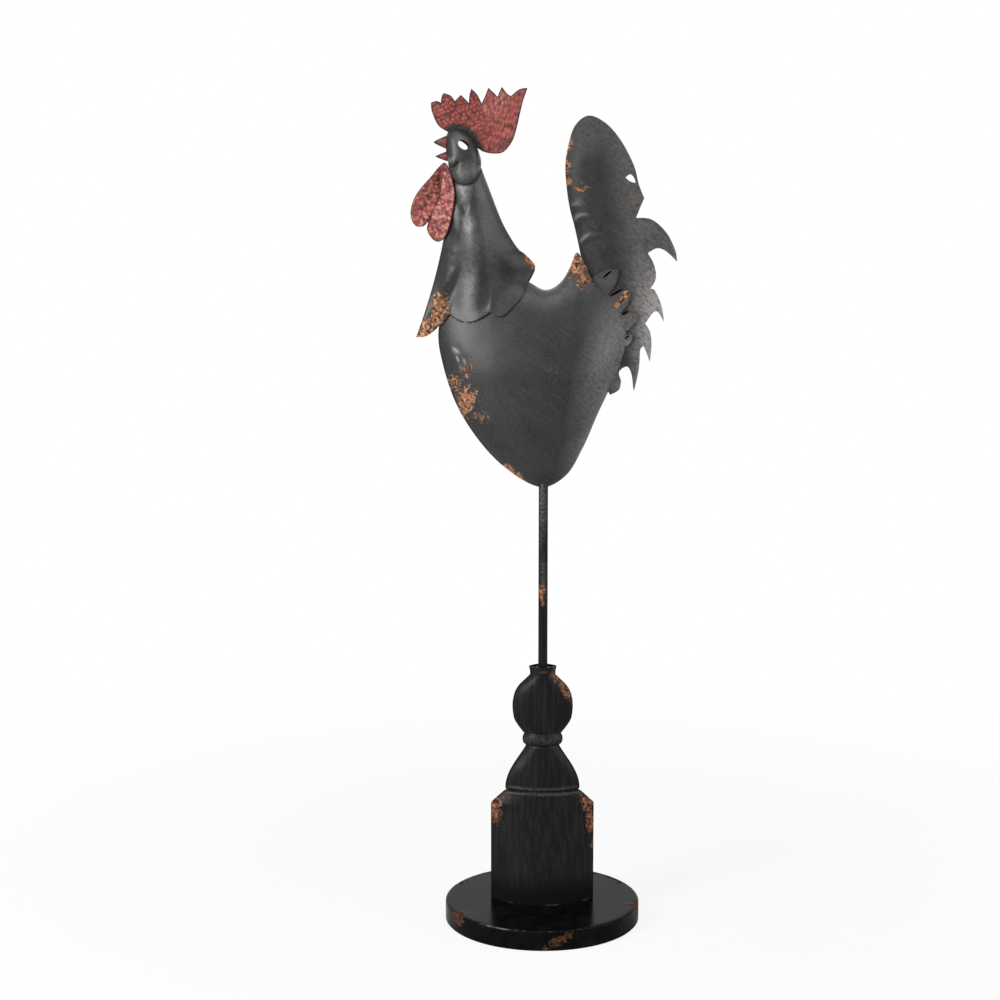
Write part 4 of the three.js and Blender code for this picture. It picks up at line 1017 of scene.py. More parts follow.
def charcoal_enamel(settings):
    """Sprayed satin enamel on sheet steel: charcoal with a soft sheen, cloudy, with faint slanting brush
    marks, paler with painted highlights and painted light, in a few places partly rubbed paint, with painted
    shade and shadow along the laps, in creases and on dark panels, and rusted through at edges and high places"""
    material, tree = new_material("charcoal_enamel")
    clouds = noise_value(tree, 26.0, detail=3.0)
    dark, light = (shaded(settings.black, factor) for factor in (0.72, 1.35))
    colour = blended(tree, stepped(tree, clouds, 0.35, 0.65), dark, light)
    # The real speckle and orange peel are finer and are drawn coarser here, so that they show
    speckle = noise_value(tree, 1.7, detail=5.0, roughness=0.75)
    colour = tinted(tree, colour, speckle, 0.4, 0.62, 0.32, "#424141")
    strokes = noise_value(tree, 1.6, detail=3.0, stretch=(14, 14, 1), turn=BRUSH_TURN)
    colour = tinted(tree, colour, strokes, 0.5, 0.75, 0.04, BRUSH_AND_HIGHLIGHT_GREY)
    # Painted highlights and painted light: pale grey where the mesh marks it, in smears along the brush marks
    smears = noise_value(tree, 2.0, detail=5.0, stretch=(2, 2, 1), turn=BRUSH_TURN)
    rubbed_and_lit = computed(tree, "MULTIPLY", attribute(tree, "haze"), stepped(tree, smears, 0.3, 0.66, 0.2, 0.6))
    colour = blended(tree, rubbed_and_lit, colour, linear(BRUSH_AND_HIGHLIGHT_GREY))
    # Painted shade and painted shadow: near black where the mesh marks it, broken up by fine speckle
    grit = computed(tree, "MULTIPLY_ADD", noise_value(tree, 1.6, detail=4.0), 0.8, attribute(tree, "soot"))
    shade_mask = stepped(tree, grit, 0.7, 1.15)
    colour = blended(tree, shade_mask, colour, linear("#0e0e0f"))
    rough = computed(tree, "MULTIPLY_ADD", shade_mask, 0.3, varied(tree, strokes, 0.31, 0.4))
    peel = computed(tree, "MULTIPLY", noise_value(tree, 2.0, detail=4.0, roughness=0.7), 0.085)
    height = computed(tree, "MULTIPLY_ADD", strokes, 0.012, peel)
    finished(tree, *rust_over(tree, colour, rough, height, BIRD_RUST), specular=0.36)
    return material


def brick_enamel(settings):
    """Hand-rubbed red enamel on hammered sheet: brick red, pink and glossy on the raised places, where the
    pink is partly rubbed paint and partly painted highlight, with more pink painted light where the mesh marks
    it, dark in the valleys and along the cut edges, sooty where it meets the black head"""
    material, tree = new_material("brick_enamel")
    clouds = noise_value(tree, 6.0, detail=4.0)
    deep = shaded(settings.red, 0.5)
    colour = blended(tree, stepped(tree, clouds, 0.35, 0.65), deep, shaded(settings.red))
    ridge = attribute(tree, "ridge")
    grit = noise_value(tree, 1.3, detail=4.0)
    # Pink on the raised places, partly rubbed paint and partly painted highlights, and pink painted light
    # where the mesh marks it
    high = computed(tree, "MULTIPLY", stepped(tree, ridge, 0.45, 0.95), stepped(tree, grit, 0.4, 0.6))
    high = computed(tree, "MULTIPLY_ADD", high, 0.42, attribute(tree, "haze"))
    colour = blended(tree, high, colour, linear("#d18478"))
    low = computed(tree, "MULTIPLY", stepped(tree, ridge, 0.35, 0.0), stepped(tree, grit, 0.36, 0.56))
    colour = blended(tree, computed(tree, "MULTIPLY", low, 0.85), colour, linear("#2f1d1c"))
    rim = computed(tree, "MULTIPLY_ADD", grit, 0.8, attribute(tree, "rim"))
    colour = tinted(tree, colour, rim, 0.95, 1.25, 0.92, "#1f1313")
    soot = computed(tree, "MULTIPLY_ADD", grit, 0.7, attribute(tree, "soot"))
    colour = tinted(tree, colour, soot, 0.5, 1.0, 0.98, "#29282a")
    rough = computed(tree, "MULTIPLY_ADD", stepped(tree, rim, 0.9, 1.2), 0.4, varied(tree, grit, 0.28, 0.46))
    finished(tree, colour, rough, computed(tree, "MULTIPLY", grit, 0.08), specular=0.3)
    return material


def stand_enamel(settings):
    """Brushed black paint on the stand's steel: nearly black, with upright bristle streaks that catch the
    light, grey along the ridges, partly rubbed paint and partly painted highlights, painted shade along the
    side edges, low on the foot and on the rod's sides, with faint red undercoat and rust at the corners"""
    material, tree = new_material("stand_enamel")
    # Real bristle streaks are narrower and are drawn wider here, so that they show
    width = settings.streak_width / MM
    streaks = noise_value(tree, width, detail=4.0, roughness=0.65, stretch=(1, 1, 26))
    colour = tinted(tree, shaded(settings.black), streaks, 0.42, 0.68, 0.5, "#2b2a2a")
    under = noise_value(tree, 6.0, detail=4.0, stretch=(1, 1, 4))
    colour = tinted(tree, colour, under, 0.55, 0.75, 0.2, "#3a2422")
    # Grey where the mesh marks it, partly rubbed paint and partly painted highlights
    specks = stepped(tree, noise_value(tree, 1.9, detail=4.0), 0.3, 0.72)
    rubbed_and_lit = computed(tree, "MULTIPLY", attribute(tree, "haze"), specks)
    colour = blended(tree, rubbed_and_lit, colour, linear("#85807c"))
    # Painted shade: near black and rougher where the mesh marks it
    soot = attribute(tree, "soot")
    colour = blended(tree, soot, colour, linear("#060606"))
    rough = computed(tree, "MULTIPLY_ADD", soot, 0.5, varied(tree, streaks, 0.42, 0.27))
    height = computed(tree, "MULTIPLY", streaks, 0.12)
    finished(tree, *rust_over(tree, colour, rough, height, STAND_RUST), specular=0.12)
    return material


def worn_board(settings):
    """Fibreboard under smooth satin black paint, in which the stand is mirrored, worn brown at its edge, and
    pale along its top edge, partly worn paint and partly a painted highlight
    """
    material, tree = new_material("worn_board")
    mottle = noise_value(tree, 12.0, detail=5.0)
    colour = tinted(tree, shaded(settings.black, 0.6), mottle, 0.4, 0.7, 0.25, "#242322")
    # Pale along the top edge: partly worn paint, partly a painted highlight
    rub = computed(tree, "MULTIPLY_ADD", noise_value(tree, 5.0), 1.1, attribute(tree, "edge"))
    colour = tinted(tree, colour, rub, 1.22, 1.55, 0.7, "#8c8378")
    height = computed(tree, "MULTIPLY", noise_value(tree, 1.5), 0.01)
    rough = varied(tree, mottle, 0.17, 0.24)
    finished(tree, *rust_over(tree, colour, rough, height, BOARD_FIBRE), specular=0.04)
    return material


def zinc_steel(settings):
    """Zinc-plated steel of the nut and washer: pale grey metal with fine turning marks"""
    material, tree = new_material("zinc_steel")
    marks = noise_value(tree, 0.6, detail=2.0, stretch=(1, 1, 8))
    rough = varied(tree, marks, 0.3, 0.45)
    colour = blended(tree, marks, linear("#9a9c9f"), linear("#bfc1c3"))
    finished(tree, colour, rough, computed(tree, "MULTIPLY", marks, 0.01), metallic=1.0)
    return material


def material_of(maker, settings):
    """The finish that a maker makes, made once"""
    return bpy.data.materials.get(maker.__name__) or maker(settings)


# Pieces

class PieceOperator(bpy.types.Operator):
    """Shared part of the operators that make pieces"""

    bl_options = {"REGISTER", "UNDO"}

    def execute(self, context):
        self.make(context.scene.rooster_bird, context.scene.rooster_stand)
        return {"FINISHED"}


# Leaf feather: spacing of its mesh, share of its length behind its root, share over which it rises from the
# body, depth at which it starts in the sheet, lift of its lower edge as a share of the upper one's
LEAF_SPACING = 0.7
LEAF_ROOT = 0.3
LEAF_RISE = 0.42
LEAF_BURIED = 0.4
LEAF_LOWER_LIFT = 0.6
LEAF_SHEET = 0.8 * SHEET
# Depth of the body below which its sheet has no ripples or dents
BODY_STILL = 8.0
BODY_RIPPLE_LENGTH = 26.0
# Painted shade: its strength, its reach below the cape's hem and in from the breast's seam, and the x where
# each ends
PAINTED_SHADE = 0.9
HEM_SHADOW_REACH = 1.6
HEM_SHADOW_END = -28
SEAM_SHADE_REACH = 4
SEAM_SHADE_END = -20
# Least room between the tail and the body's rear, and the least sheet that is left there
OVER_TAIL_GAP = 0.1
OVER_TAIL_SHEET = 0.15


class ROOSTER_OT_body(PieceOperator):
    """Two dished body halves with the leaf feathers pried up along their rear edges"""

    bl_idname = "rooster.body"
    bl_label = "Body Halves"

    def leaf(self, leaf, side):
        """Sheet of one leaf feather, which starts inside the body and lifts off the tail towards its tip"""
        root = on_body(leaf["at"])
        length = leaf["scale"][0] * LEAF_LENGTH
        half_width = leaf["scale"][1] * LEAF_WIDTH / 2
        along = np.linspace(-LEAF_ROOT, 1, 40)
        half = half_width * np.maximum(0.04, (1 - np.maximum(0, along) ** 2.2) ** 0.8)
        edge = np.vstack([np.column_stack([along, half]), np.column_stack([along, -half])[::-1]])
        outline = turned(root, leaf["angle"], edge[:, 0] * length, edge[:, 1])
        flat, faces = blank(outline, LEAF_SPACING, LEAF_SLOTS)
        from_root = flat - root
        turn = math.radians(leaf["angle"])
        a = (from_root @ (math.cos(turn), math.sin(turn))) / length
        b = (from_root @ (-math.sin(turn), math.cos(turn))) / half_width
        sheet = tail_face(flat[:, 0], flat[:, 1]) + SHEET
        lift = LEAF_LIFT * np.maximum(0, a) ** 2 * mix(LEAF_LOWER_LIFT, 1.0, ramp((b + 1) / 2))
        raised = sheet + LAP_GAP + SHEET + lift
        buried = np.maximum(BODY.depth(flat[:, 0], flat[:, 1]), sheet + SEAM_GAP) - LEAF_BURIED
        y = mix(buried, raised, ramp((a + LEAF_ROOT) / LEAF_RISE))
        points = np.column_stack([flat[:, 0], side * y, flat[:, 1]])
        return thickened(points, facing(points, faces, side), LEAF_SHEET)

    def soot(self, points):
        """Painted shadow under the cape's hem, and painted shade along the seam of the breast"""
        hem = np.maximum(0, hem_line(points[:, 0]) - points[:, 2])
        hem_shadow = PAINTED_SHADE * bell(hem, HEM_SHADOW_REACH) * ramp((HEM_SHADOW_END - points[:, 0]) / 10)
        breast = (points[:, 0] < SEAM_SHADE_END) & (points[:, 2] < BREAST[1])
        rim = 1 - distance_to(points[:, [0, 2]], BODY_OUTLINE) / SEAM_SHADE_REACH
        return np.maximum(hem_shadow, np.where(breast, PAINTED_SHADE * np.clip(rim, 0, 1), 0))

    def make(self, bird, stand):
        for side, name in ((-1, "body_left"), (1, "body_right")):
            points, faces = BODY.rings(ring_shares(45, 1.7))
            ripple = bird.sheet_ripple / MM * grain(points, BODY_RIPPLE_LENGTH, side, 2)
            still = np.clip((points[:, 1] - BODY_STILL) / BODY_STILL, 0, 1)
            points[:, 1] -= (ripple + dents(points, BODY_DENTS)) * still
            points[:, 1] *= side
            points, faces = thickened(points, facing(points, faces, side), SHEET)
            over_tail = inside(points[:, [0, 2]], TAIL_OUTLINE)
            floor = tail_face(points[:, 0], points[:, 2]) + SHEET + OVER_TAIL_GAP
            floor[:len(points) // 2] += OVER_TAIL_SHEET
            clear = side * np.maximum(side * points[:, 1], floor)
            points[:, 1] = np.where(over_tail, clear, points[:, 1])
            for leaf in LEAVES:
                points, faces = joined(points, faces, *self.leaf(leaf, side))
            obj = object_from(
                name + "_shell", points, faces, wear=patches(points, BODY_WEAR),
                haze=patches(points, BODY_RUB_AND_PAINTED_LIGHT), soot=self.soot(points))
            add_piece(obj, "black_paint", material_of(charcoal_enamel, bird), name)


# Neck: mesh points across and down, how far the columns crowd at the seams, and rounds of evening out
NECK_COLUMNS = 111
NECK_ROWS = 91
NECK_CROWDING = 0.55
NECK_DRAPE_ROUNDS = 40
NECK_RIPPLE_LENGTH = 20.0
# Depth and length of the beaten dints
DINT_DEPTH = 0.4
DINT_LENGTH = 7.5
# Pleat of the neck: depth and reach of its trough, height of its ridge and reach to both sides, upper end
TROUGH_DEPTH = 0.5
TROUGH_REACH = 6.5
RIDGE_RISE = 0.8
RIDGE_FRONT_REACH = 12
RIDGE_BACK_REACH = 7
PLEAT_TOP = 660
# Painted shadow along the head's edge and its reach, and painted shade in the beaten dints
HEAD_SHADOW = 1.1
HEAD_SHADOW_REACH = 2.3
DINT_SHADE = 0.85
# Lift of the hem off the body, and the place from seam to seam where it ends
HEM_LIFT = 0.9
HEM_LIFT_END = 0.84


class ROOSTER_OT_neck(PieceOperator):
    """Two neck halves that spread into the scalloped cape"""

    bl_idname = "rooster.neck"
    bl_label = "Neck and Cape"

    def make(self, bird, stand):
        eased = np.linspace(0, 1, NECK_COLUMNS)
        columns = mix(eased, ramp(eased), NECK_CROWDING)
        rows = np.linspace(0, 1, NECK_ROWS)
        shape = (NECK_ROWS, NECK_COLUMNS)
        for side, name in ((-1, "hackle_left"), (1, "hackle_right")):
            u, v = (grid.ravel() for grid in np.meshgrid(columns, rows))
            z = mix(NECK_TOP[1], hem_height(u), v)
            x = mix(neck_front(z), neck_back(z), u)
            neck = neck_half_depth(z) * neck_section(u, z)
            edge = np.minimum(1, np.minimum(u, 1 - u) / CAPE_EDGE_SHARE)
            over = BODY.depth(x, z) + (LAP_GAP + SHEET) * edge * ramp(v / CAPE_START_SHARE)
            y = mix(soft_max(neck, over), over, ramp((v - CAPE_START_SHARE) / (1 - CAPE_START_SHARE)))
            y = draped(y.reshape(shape), over.reshape(shape), NECK_DRAPE_ROUNDS).ravel()
            least = np.where(over > 0, over, 0) * ramp((v - 0.3) / 0.3)
            lift = HEM_LIFT * edge * ramp((v - 0.93) / 0.07) * ramp((HEM_LIFT_END - u) / 0.12)
            y = np.maximum(y + self.pleat(x, y, z), least) + lift
            points = np.column_stack([x, y, z])
            ripple = bird.sheet_ripple / MM * grain(points, NECK_RIPPLE_LENGTH, 3 + side, 2)
            ripple += DINT_DEPTH * patches(points, BATTERED) * grain(points, DINT_LENGTH, 7 + side, 3)
            still = np.clip(y / 6, 0, 1) * ramp(v * 6) * ramp((1 - v) * 5)
            points[:, 1] -= (ripple + dents(points, CAPE_DENTS)) * still
            points[:, 1] *= side
            faces = facing(points, grid_faces(NECK_COLUMNS, NECK_ROWS), side)
            points, faces = thickened(points, faces, SHEET)
            # Painted shadow under the head's edge, painted shade on the first two dinted panels and in the
            # neck's dents
            under_head = HEAD_SHADOW * bell(distance_to(points[:, [0, 2]], HEAD_OUTLINE), HEAD_SHADOW_REACH)
            beaten_shade = DINT_SHADE * patches(points, BATTERED[:2])
            obj = object_from(
                name + "_shell", points, faces, wear=patches(points, CAPE_WEAR),
                haze=patches(points, CAPE_PAINTED_LIGHT),
                soot=np.maximum.reduce([under_head, beaten_shade, patches(points, NECK_PAINTED_SHADE)]))
            add_piece(obj, "black_paint", material_of(charcoal_enamel, bird), name)

    def pleat(self, x, y, z):
        """Height of the pleat, which fades at the seams and under the head"""
        trough, ridge = (np.interp(z, *np.transpose(line)[::-1]) for line in (TROUGH_LINE, RIDGE_LINE))
        pleat = -TROUGH_DEPTH * bell(x - trough, TROUGH_REACH)
        front, back = (bell(x - ridge, reach) for reach in (RIDGE_FRONT_REACH, RIDGE_BACK_REACH))
        pleat += RIDGE_RISE * np.where(x < ridge, front, back)
        return pleat * (np.clip(y / 5, 0, 1) * ramp((PLEAT_TOP - z) / 25))


HEAD_SPACING = 0.5
EYE_POINTS = 26


class ROOSTER_OT_head(PieceOperator):
    """Two head halves with the eye hole, the jaw crease and the round cheek"""

    bl_idname = "rooster.head"
    bl_label = "Head Halves"

    def make(self, bird, stand):
        outline = HEAD_OUTLINE
        neck = neck_depth(outline[:, 0], outline[:, 1])
        cheek = ramp((NECK_TOP[1] + 4 - outline[:, 1]) / 10)
        rim = np.where(neck > 0, neck + LAP_GAP + CHEEK_LIFT * cheek * np.clip(neck / 5, 0, 1), 0.0)
        dish = Dish(outline, on_head(HEAD_CENTRE_PLACE), HEAD_HALF_DEPTH, HEAD_FULLNESS, rim)
        angles = np.arange(EYE_POINTS) / EYE_POINTS * 2 * math.pi
        tilt = math.radians(EYE_TILT)
        long, high = EYE_LENGTH / 2 * np.cos(angles), EYE_HEIGHT / 2 * np.sin(angles)
        eye = EYE + np.column_stack([
            long * math.cos(tilt) - high * math.sin(tilt), long * math.sin(tilt) + high * math.cos(tilt),
        ])
        ring_points, _ = dish.rings(ring_shares(25, 2)[1:])
        flat, faces = blank(outline, HEAD_SPACING, [eye], ring_points[:, [0, 2]])
        depth = dish.depth(flat[:, 0], flat[:, 1])
        depth[:len(outline)] = rim
        to_crease = distance_to(flat, JAW_CREASE, closed=False)
        groove = JAW_CREASE_DEPTH * bell(to_crease, JAW_CREASE_REACH)
        swell = sum(
            height * bell(away_from(flat, (x, z)), radius) for x, z, radius, height in CHEEK_SWELLS
        )
        still = np.clip(depth / 4, 0, 1) * np.clip(distance_to(flat, outline) / 2, 0, 1)
        # Painted shade in the jaw crease
        soot = np.tile(PAINTED_SHADE * bell(to_crease, 0.9), 2)
        for side, name in ((-1, "head_left"), (1, "head_right")):
            placed = flat - (side > 0) * bell(away_from(flat, EYE), 7)[:, None] * FAR_EYE_SHIFT
            points = np.column_stack([placed[:, 0], side * (depth - (groove - swell) * still), placed[:, 1]])
            solid, walls = thickened(points, facing(points, faces, side), SHEET)
            obj = object_from(
                name + "_shell", solid, walls, haze=patches(solid, HEAD_PAINTED_HIGHLIGHTS),
                soot=np.maximum(soot, patches(solid, HEAD_PAINTED_SHADE)))
            add_piece(obj, "black_paint", material_of(charcoal_enamel, bird), name)


# Hammer blows grow shallower over this width along a cut edge, down to this share of their depth
HAMMER_MARGIN = 1.5
HAMMER_LEAST = 0.15
# Width of the dark rim along the cut edge of the comb and of the wattles, and soot around the head
COMB_RIM = 2.6
WATTLE_RIM = 2.2
COMB_SOOT_REACH = 7
# Height of a wattle's pillow, and how much deeper than the comb it is hammered
WATTLE_PILLOW = 1.6
WATTLE_BLOWS = 1.4


class ROOSTER_OT_comb(PieceOperator):
    """Hammered comb with its seven points, waved across its thickness"""

    bl_idname = "rooster.comb"
    bl_label = "Comb"

    def make(self, bird, stand):
        outline = cornered_outline([[on_comb(p) for p in run] for run in COMB_RUNS], 4)
        flat, faces = blank(outline, 0.55 * bird.mesh_spacing / MM)
        free = ramp((flat[:, 1] - on_head((0, 0.64))[1]) / (0.5 * COMB_HEIGHT))
        wave = COMB_RUFFLE * free * np.sin((flat[:, 0] - COMB_SEAT[0]) / COMB_LENGTH * 3 * math.pi)
        step = bird.hammer_spacing / MM
        rear = ramp((flat[:, 0] - COMB_SEAT[0] - 8) / 22)
        ridge = mix(pebbled(flat, step, step, 20, 4), pebbled(flat, 0.7 * step, 1.7 * step, -14, 5), rear)
        fold = bell(distance_to(flat, COMB_FOLD, closed=False), 1.6)
        margin = distance_to(flat, outline)
        calm = np.clip(margin / HAMMER_MARGIN, HAMMER_LEAST, 1)
        y = wave - bird.hammer_depth / MM * (ridge - 0.5) * calm + COMB_FOLD_DEPTH * fold
        points = np.column_stack([flat[:, 0], y, flat[:, 1]])
        points, faces = thickened(points, facing(points, faces, -1), COMB_SHEET, COMB_SHEET / 2)
        head = closed_outline([on_head(p) for p in HEAD_PLACES], 4)
        soot = np.clip(1 - distance_to(flat, head) / COMB_SOOT_REACH, 0, 1)
        obj = object_from(
            "comb_sheet", points, faces,
            ridge=np.tile(ridge, 2), rim=np.tile(np.clip(1 - margin / COMB_RIM, 0, 1), 2),
            soot=np.maximum(np.tile(soot, 2), patches(points, COMB_SOOT)),
            haze=np.tile(0.1 * rear, 2))
        add_piece(obj, "red_paint", material_of(brick_enamel, bird), "comb")


# Beak: share of its length inside the head and to its blunt tip, power of its taper, size of its hammer blows
BEAK_ROOT = 0.4
BEAK_TIP = 0.985
BEAK_TAPER = 0.8
BEAK_BLOWS = 2.6


class ROOSTER_OT_beak(PieceOperator):
    """Upper and lower beak: pointed horns in front of the head"""

    bl_idname = "rooster.beak"
    bl_label = "Beak"

    def make(self, bird, stand):
        rows = np.linspace(-BEAK_ROOT, BEAK_TIP, 22)
        angles = np.arange(28) / 28 * 2 * math.pi
        for name, (root, length, height) in BEAKS.items():
            points = []
            for f in rows:
                taper = (1 - max(0.0, f)) ** BEAK_TAPER
                for a in angles:
                    y = BEAK_HALF_DEPTH * taper * math.sin(a)
                    z = root[1] + height / 2 * taper * math.cos(a) * abs(math.cos(a))
                    points.append((root[0] - f * length, y, z))
            points = np.array(points)
            faces = grid_faces(len(angles), len(rows), wrap=True)
            last = (len(rows) - 1) * len(angles)
            faces += [tuple(range(len(angles)))[::-1], tuple(last + i for i in range(len(angles)))]
            keen = np.abs(np.cos(np.tile(angles, len(rows)))) ** 3
            tip = np.repeat(np.clip((rows - 0.4) / 0.5, 0, 1), len(angles))
            ridge = pebbled(points[:, [0, 2]], BEAK_BLOWS, BEAK_BLOWS, 10, 8)
            obj = object_from(
                name + "_horn", points, faces, ridge=0.3 * ridge,
                rim=np.maximum(keen, tip), soot=0.2 + 0.5 * tip)
            add_piece(obj, "red_paint", material_of(brick_enamel, bird), name)


class ROOSTER_OT_wattles(PieceOperator):
    """Two hammered lobes under the beak"""

    bl_idname = "rooster.wattles"
    bl_label = "Wattles"

    def make(self, bird, stand):
        for name, lobe in WATTLES.items():
            side = lobe["side"]
            outline = closed_outline([on_wattle(p) for p in lobe["places"]], 6)
            flat, faces = blank(outline, 0.5 * bird.mesh_spacing / MM)
            reach = (lobe["outer"] - lobe["inner"]) * WATTLE_LENGTH
            across = (flat[:, 0] - on_wattle((lobe["inner"], 0))[0]) / reach
            down = ramp((CHIN[1] - flat[:, 1]) / (0.25 * WATTLE_LENGTH))
            clear = neck_depth(flat[:, 0], flat[:, 1])
            spread = WATTLE_SPREAD * np.maximum(0, across) ** WATTLE_SWEEP * down
            face = np.maximum(spread, np.where(clear > 0, clear + LAP_GAP, 0))
            margin = distance_to(flat, outline)
            place = np.column_stack([flat[:, 0], np.zeros(len(flat)), flat[:, 1]])
            pillow = WATTLE_PILLOW * ramp(margin / 9)
            step = bird.hammer_spacing / MM
            ridge = pebbled(flat, 1.3 * step, 0.9 * step, -25, 11 + side)
            calm = np.clip(margin / HAMMER_MARGIN, HAMMER_LEAST, 1)
            y = face + SHEET + pillow - WATTLE_BLOWS * bird.hammer_depth / MM * (1 - ridge) * calm
            points = np.column_stack([flat[:, 0], side * y, flat[:, 1]])
            points, faces = thickened(points, facing(points, faces, side), SHEET)
            # Pink painted light, mottled, with more on the far wattle, which lies in the near one's shade
            rubbed_and_lit = lobe["rub"] + 0.5 * np.clip(3.4 * grain(place, 4.2, 20 + side, 3), 0, 1)
            obj = object_from(
                name + "_lobe", points, faces, ridge=np.tile(ridge, 2),
                rim=np.tile(np.clip(1 - margin / WATTLE_RIM, 0, 1), 2), haze=np.tile(rubbed_and_lit, 2))
            add_piece(obj, "red_paint", material_of(brick_enamel, bird), name)


# Tail: height and reach of the arched dimples, height of its pillow, reach of the shadow at the body's tip
TAIL_ARC_HEIGHT = 0.9
TAIL_ARC_REACH = 2.4
TAIL_PILLOW = 0.8
TAIL_SHADOW_REACH = 3.4
TAIL_RIPPLE_LENGTH = 18.0
# How much painted light the rear of the tail gets, above and low down, and its top
TAIL_REAR_PAINTED_LIGHT = (0.45, 2.1)
TAIL_TOP_PAINTED_LIGHT = 0.3


class ROOSTER_OT_tail(PieceOperator):
    """Two tail sheets with sickle feathers cut along their rear edge"""

    bl_idname = "rooster.tail"
    bl_label = "Tail Sheets"

    def make(self, bird, stand):
        hole = cornered_outline([[on_tail(p) for p in run] for run in TAIL_HOLE_RUNS], 4)
        for side, name in ((-1, "tail_left"), (1, "tail_right")):
            slots = [slot + FAR_SLOT_SHIFT * (side > 0) for slot in LEAF_SLOTS]
            flat, faces = blank(TAIL_OUTLINE, bird.mesh_spacing / MM, [hole, *slots])
            self.sheet(bird, flat, faces, side, name)

    def sheet(self, bird, flat, faces, side, name):
        """One crowned sheet with its dimples and ripples, with painted light towards the rear, low down and at
        the top, and a painted shadow beside the body's tip
        """
        arches = sum(bell(distance_to(flat, arc, closed=False), TAIL_ARC_REACH) for arc in TAIL_ARCS)
        margin = distance_to(flat, TAIL_OUTLINE)
        clear = distance_to(flat, BODY_OUTLINE) * ~inside(flat, BODY_OUTLINE)
        pillow = TAIL_PILLOW * ramp(margin / 14) * ramp((clear - 24) / 14)
        spine = np.interp(flat[:, 1], TAIL_SPINE[:, 1], TAIL_SPINE[:, 0])
        rear = ramp((flat[:, 0] - spine + 2) / 26)
        low = ramp((600 - flat[:, 1]) / 70)
        # Painted light towards the rear, low down and at the top
        haze = np.maximum(rear * mix(*TAIL_REAR_PAINTED_LIGHT, low), TAIL_TOP_PAINTED_LIGHT * ramp((flat[:, 1] - 660) / 30))
        shadow = bell(distance_to(flat, APEX_EDGE, closed=False), TAIL_SHADOW_REACH)
        place = np.column_stack([flat[:, 0], np.zeros(len(flat)), flat[:, 1]])
        ripple = bird.sheet_ripple / MM * (1 + grain(place, TAIL_RIPPLE_LENGTH, 6 + side, 2))
        ripple *= ramp((clear - 8) / 8)
        y = tail_face(flat[:, 0], flat[:, 1]) + SHEET + TAIL_ARC_HEIGHT * arches + ripple + pillow
        points = np.column_stack([flat[:, 0], side * y, flat[:, 1]])
        solid, walls = thickened(points, facing(points, faces, side), SHEET)
        obj = object_from(
            name + "_sheet", solid, walls, wear=patches(solid, TAIL_WEAR),
            haze=np.maximum(np.tile(haze, 2), patches(solid, TAIL_FEATHER_PAINTED_LIGHT)),
            soot=np.tile(shadow, 2))
        add_piece(obj, "black_paint", material_of(charcoal_enamel, bird), name)


# Finial: heights of its forms from the base up
BLOCK_TOP = BASE_TOP + BLOCK_HEIGHT
BELL_BOTTOM = BLOCK_TOP + SHOULDER_HEIGHT
BEAD_BOTTOM = BELL_BOTTOM + BELL_HEIGHT
BALL_BOTTOM = BEAD_BOTTOM + BEAD_HEIGHT
COLLAR_BOTTOM = BALL_BOTTOM + BALL_HEIGHT
# Ball: height and half width in shares of its own
BALL_PROFILE = (
    (0, 0.64), (0.12, 0.82), (0.24, 0.95), (0.42, 1), (0.55, 0.99), (0.7, 0.92), (0.82, 0.78), (0.92, 0.58),
)
# Share of the block's height over which it grows deeper downwards, and how soft that bend is
BLOCK_SPREAD_SHARE = 0.76
BLOCK_BEND = 0.08
FINIAL_ROW_SPACING = 0.8


def finial_rows():
    """Height and half width of the finial from the base up"""
    rows = [(BASE_TOP, BLOCK_HALF_WIDTH), (BLOCK_TOP - 0.6, BLOCK_HALF_WIDTH)]
    rows += [(BLOCK_TOP + 0.4, BLOCK_HALF_WIDTH - 0.4), (BELL_BOTTOM - GROOVE, BELL_HALF_WIDTH + GROOVE)]
    rows += [(BELL_BOTTOM - 0.1, BELL_HALF_WIDTH - GROOVE), (BELL_BOTTOM + 0.5, BELL_HALF_WIDTH - GROOVE)]
    for f in np.linspace(0, 1, 18):
        width = mix(WAIST_HALF_WIDTH, BELL_HALF_WIDTH, math.sin((1 - f) * math.pi / 2) ** 1.15)
        rows.append((mix(BELL_BOTTOM + 2 * GROOVE, BEAD_BOTTOM, f), width))
    for f in np.linspace(0.12, 0.92, 10):
        width = mix(WAIST_HALF_WIDTH, BEAD_HALF_WIDTH, math.sin(f * math.pi) ** 0.5)
        rows.append((BEAD_BOTTOM + f * BEAD_HEIGHT, width))
    ball = [(BALL_BOTTOM + h * BALL_HEIGHT, w * BALL_HALF_WIDTH) for h, w in BALL_PROFILE]
    rows += [tuple(p) for p in open_curve(ball, 4)]
    rows += [(COLLAR_BOTTOM, COLLAR_HALF_WIDTH)]
    rows += [(mix(COLLAR_BOTTOM, FINIAL_TOP, 0.5), COLLAR_HALF_WIDTH + 0.2)]
    rows += [(FINIAL_TOP, COLLAR_HALF_WIDTH + COLLAR_FLARE)]
    heights, widths = np.array(rows).T
    pace = np.concatenate([[0], np.cumsum(np.hypot(np.diff(heights), np.diff(widths)))])
    fine = np.unique(np.concatenate([pace, np.arange(0, pace[-1], FINIAL_ROW_SPACING)]))
    return np.interp(fine, pace, heights), np.interp(fine, pace, widths)


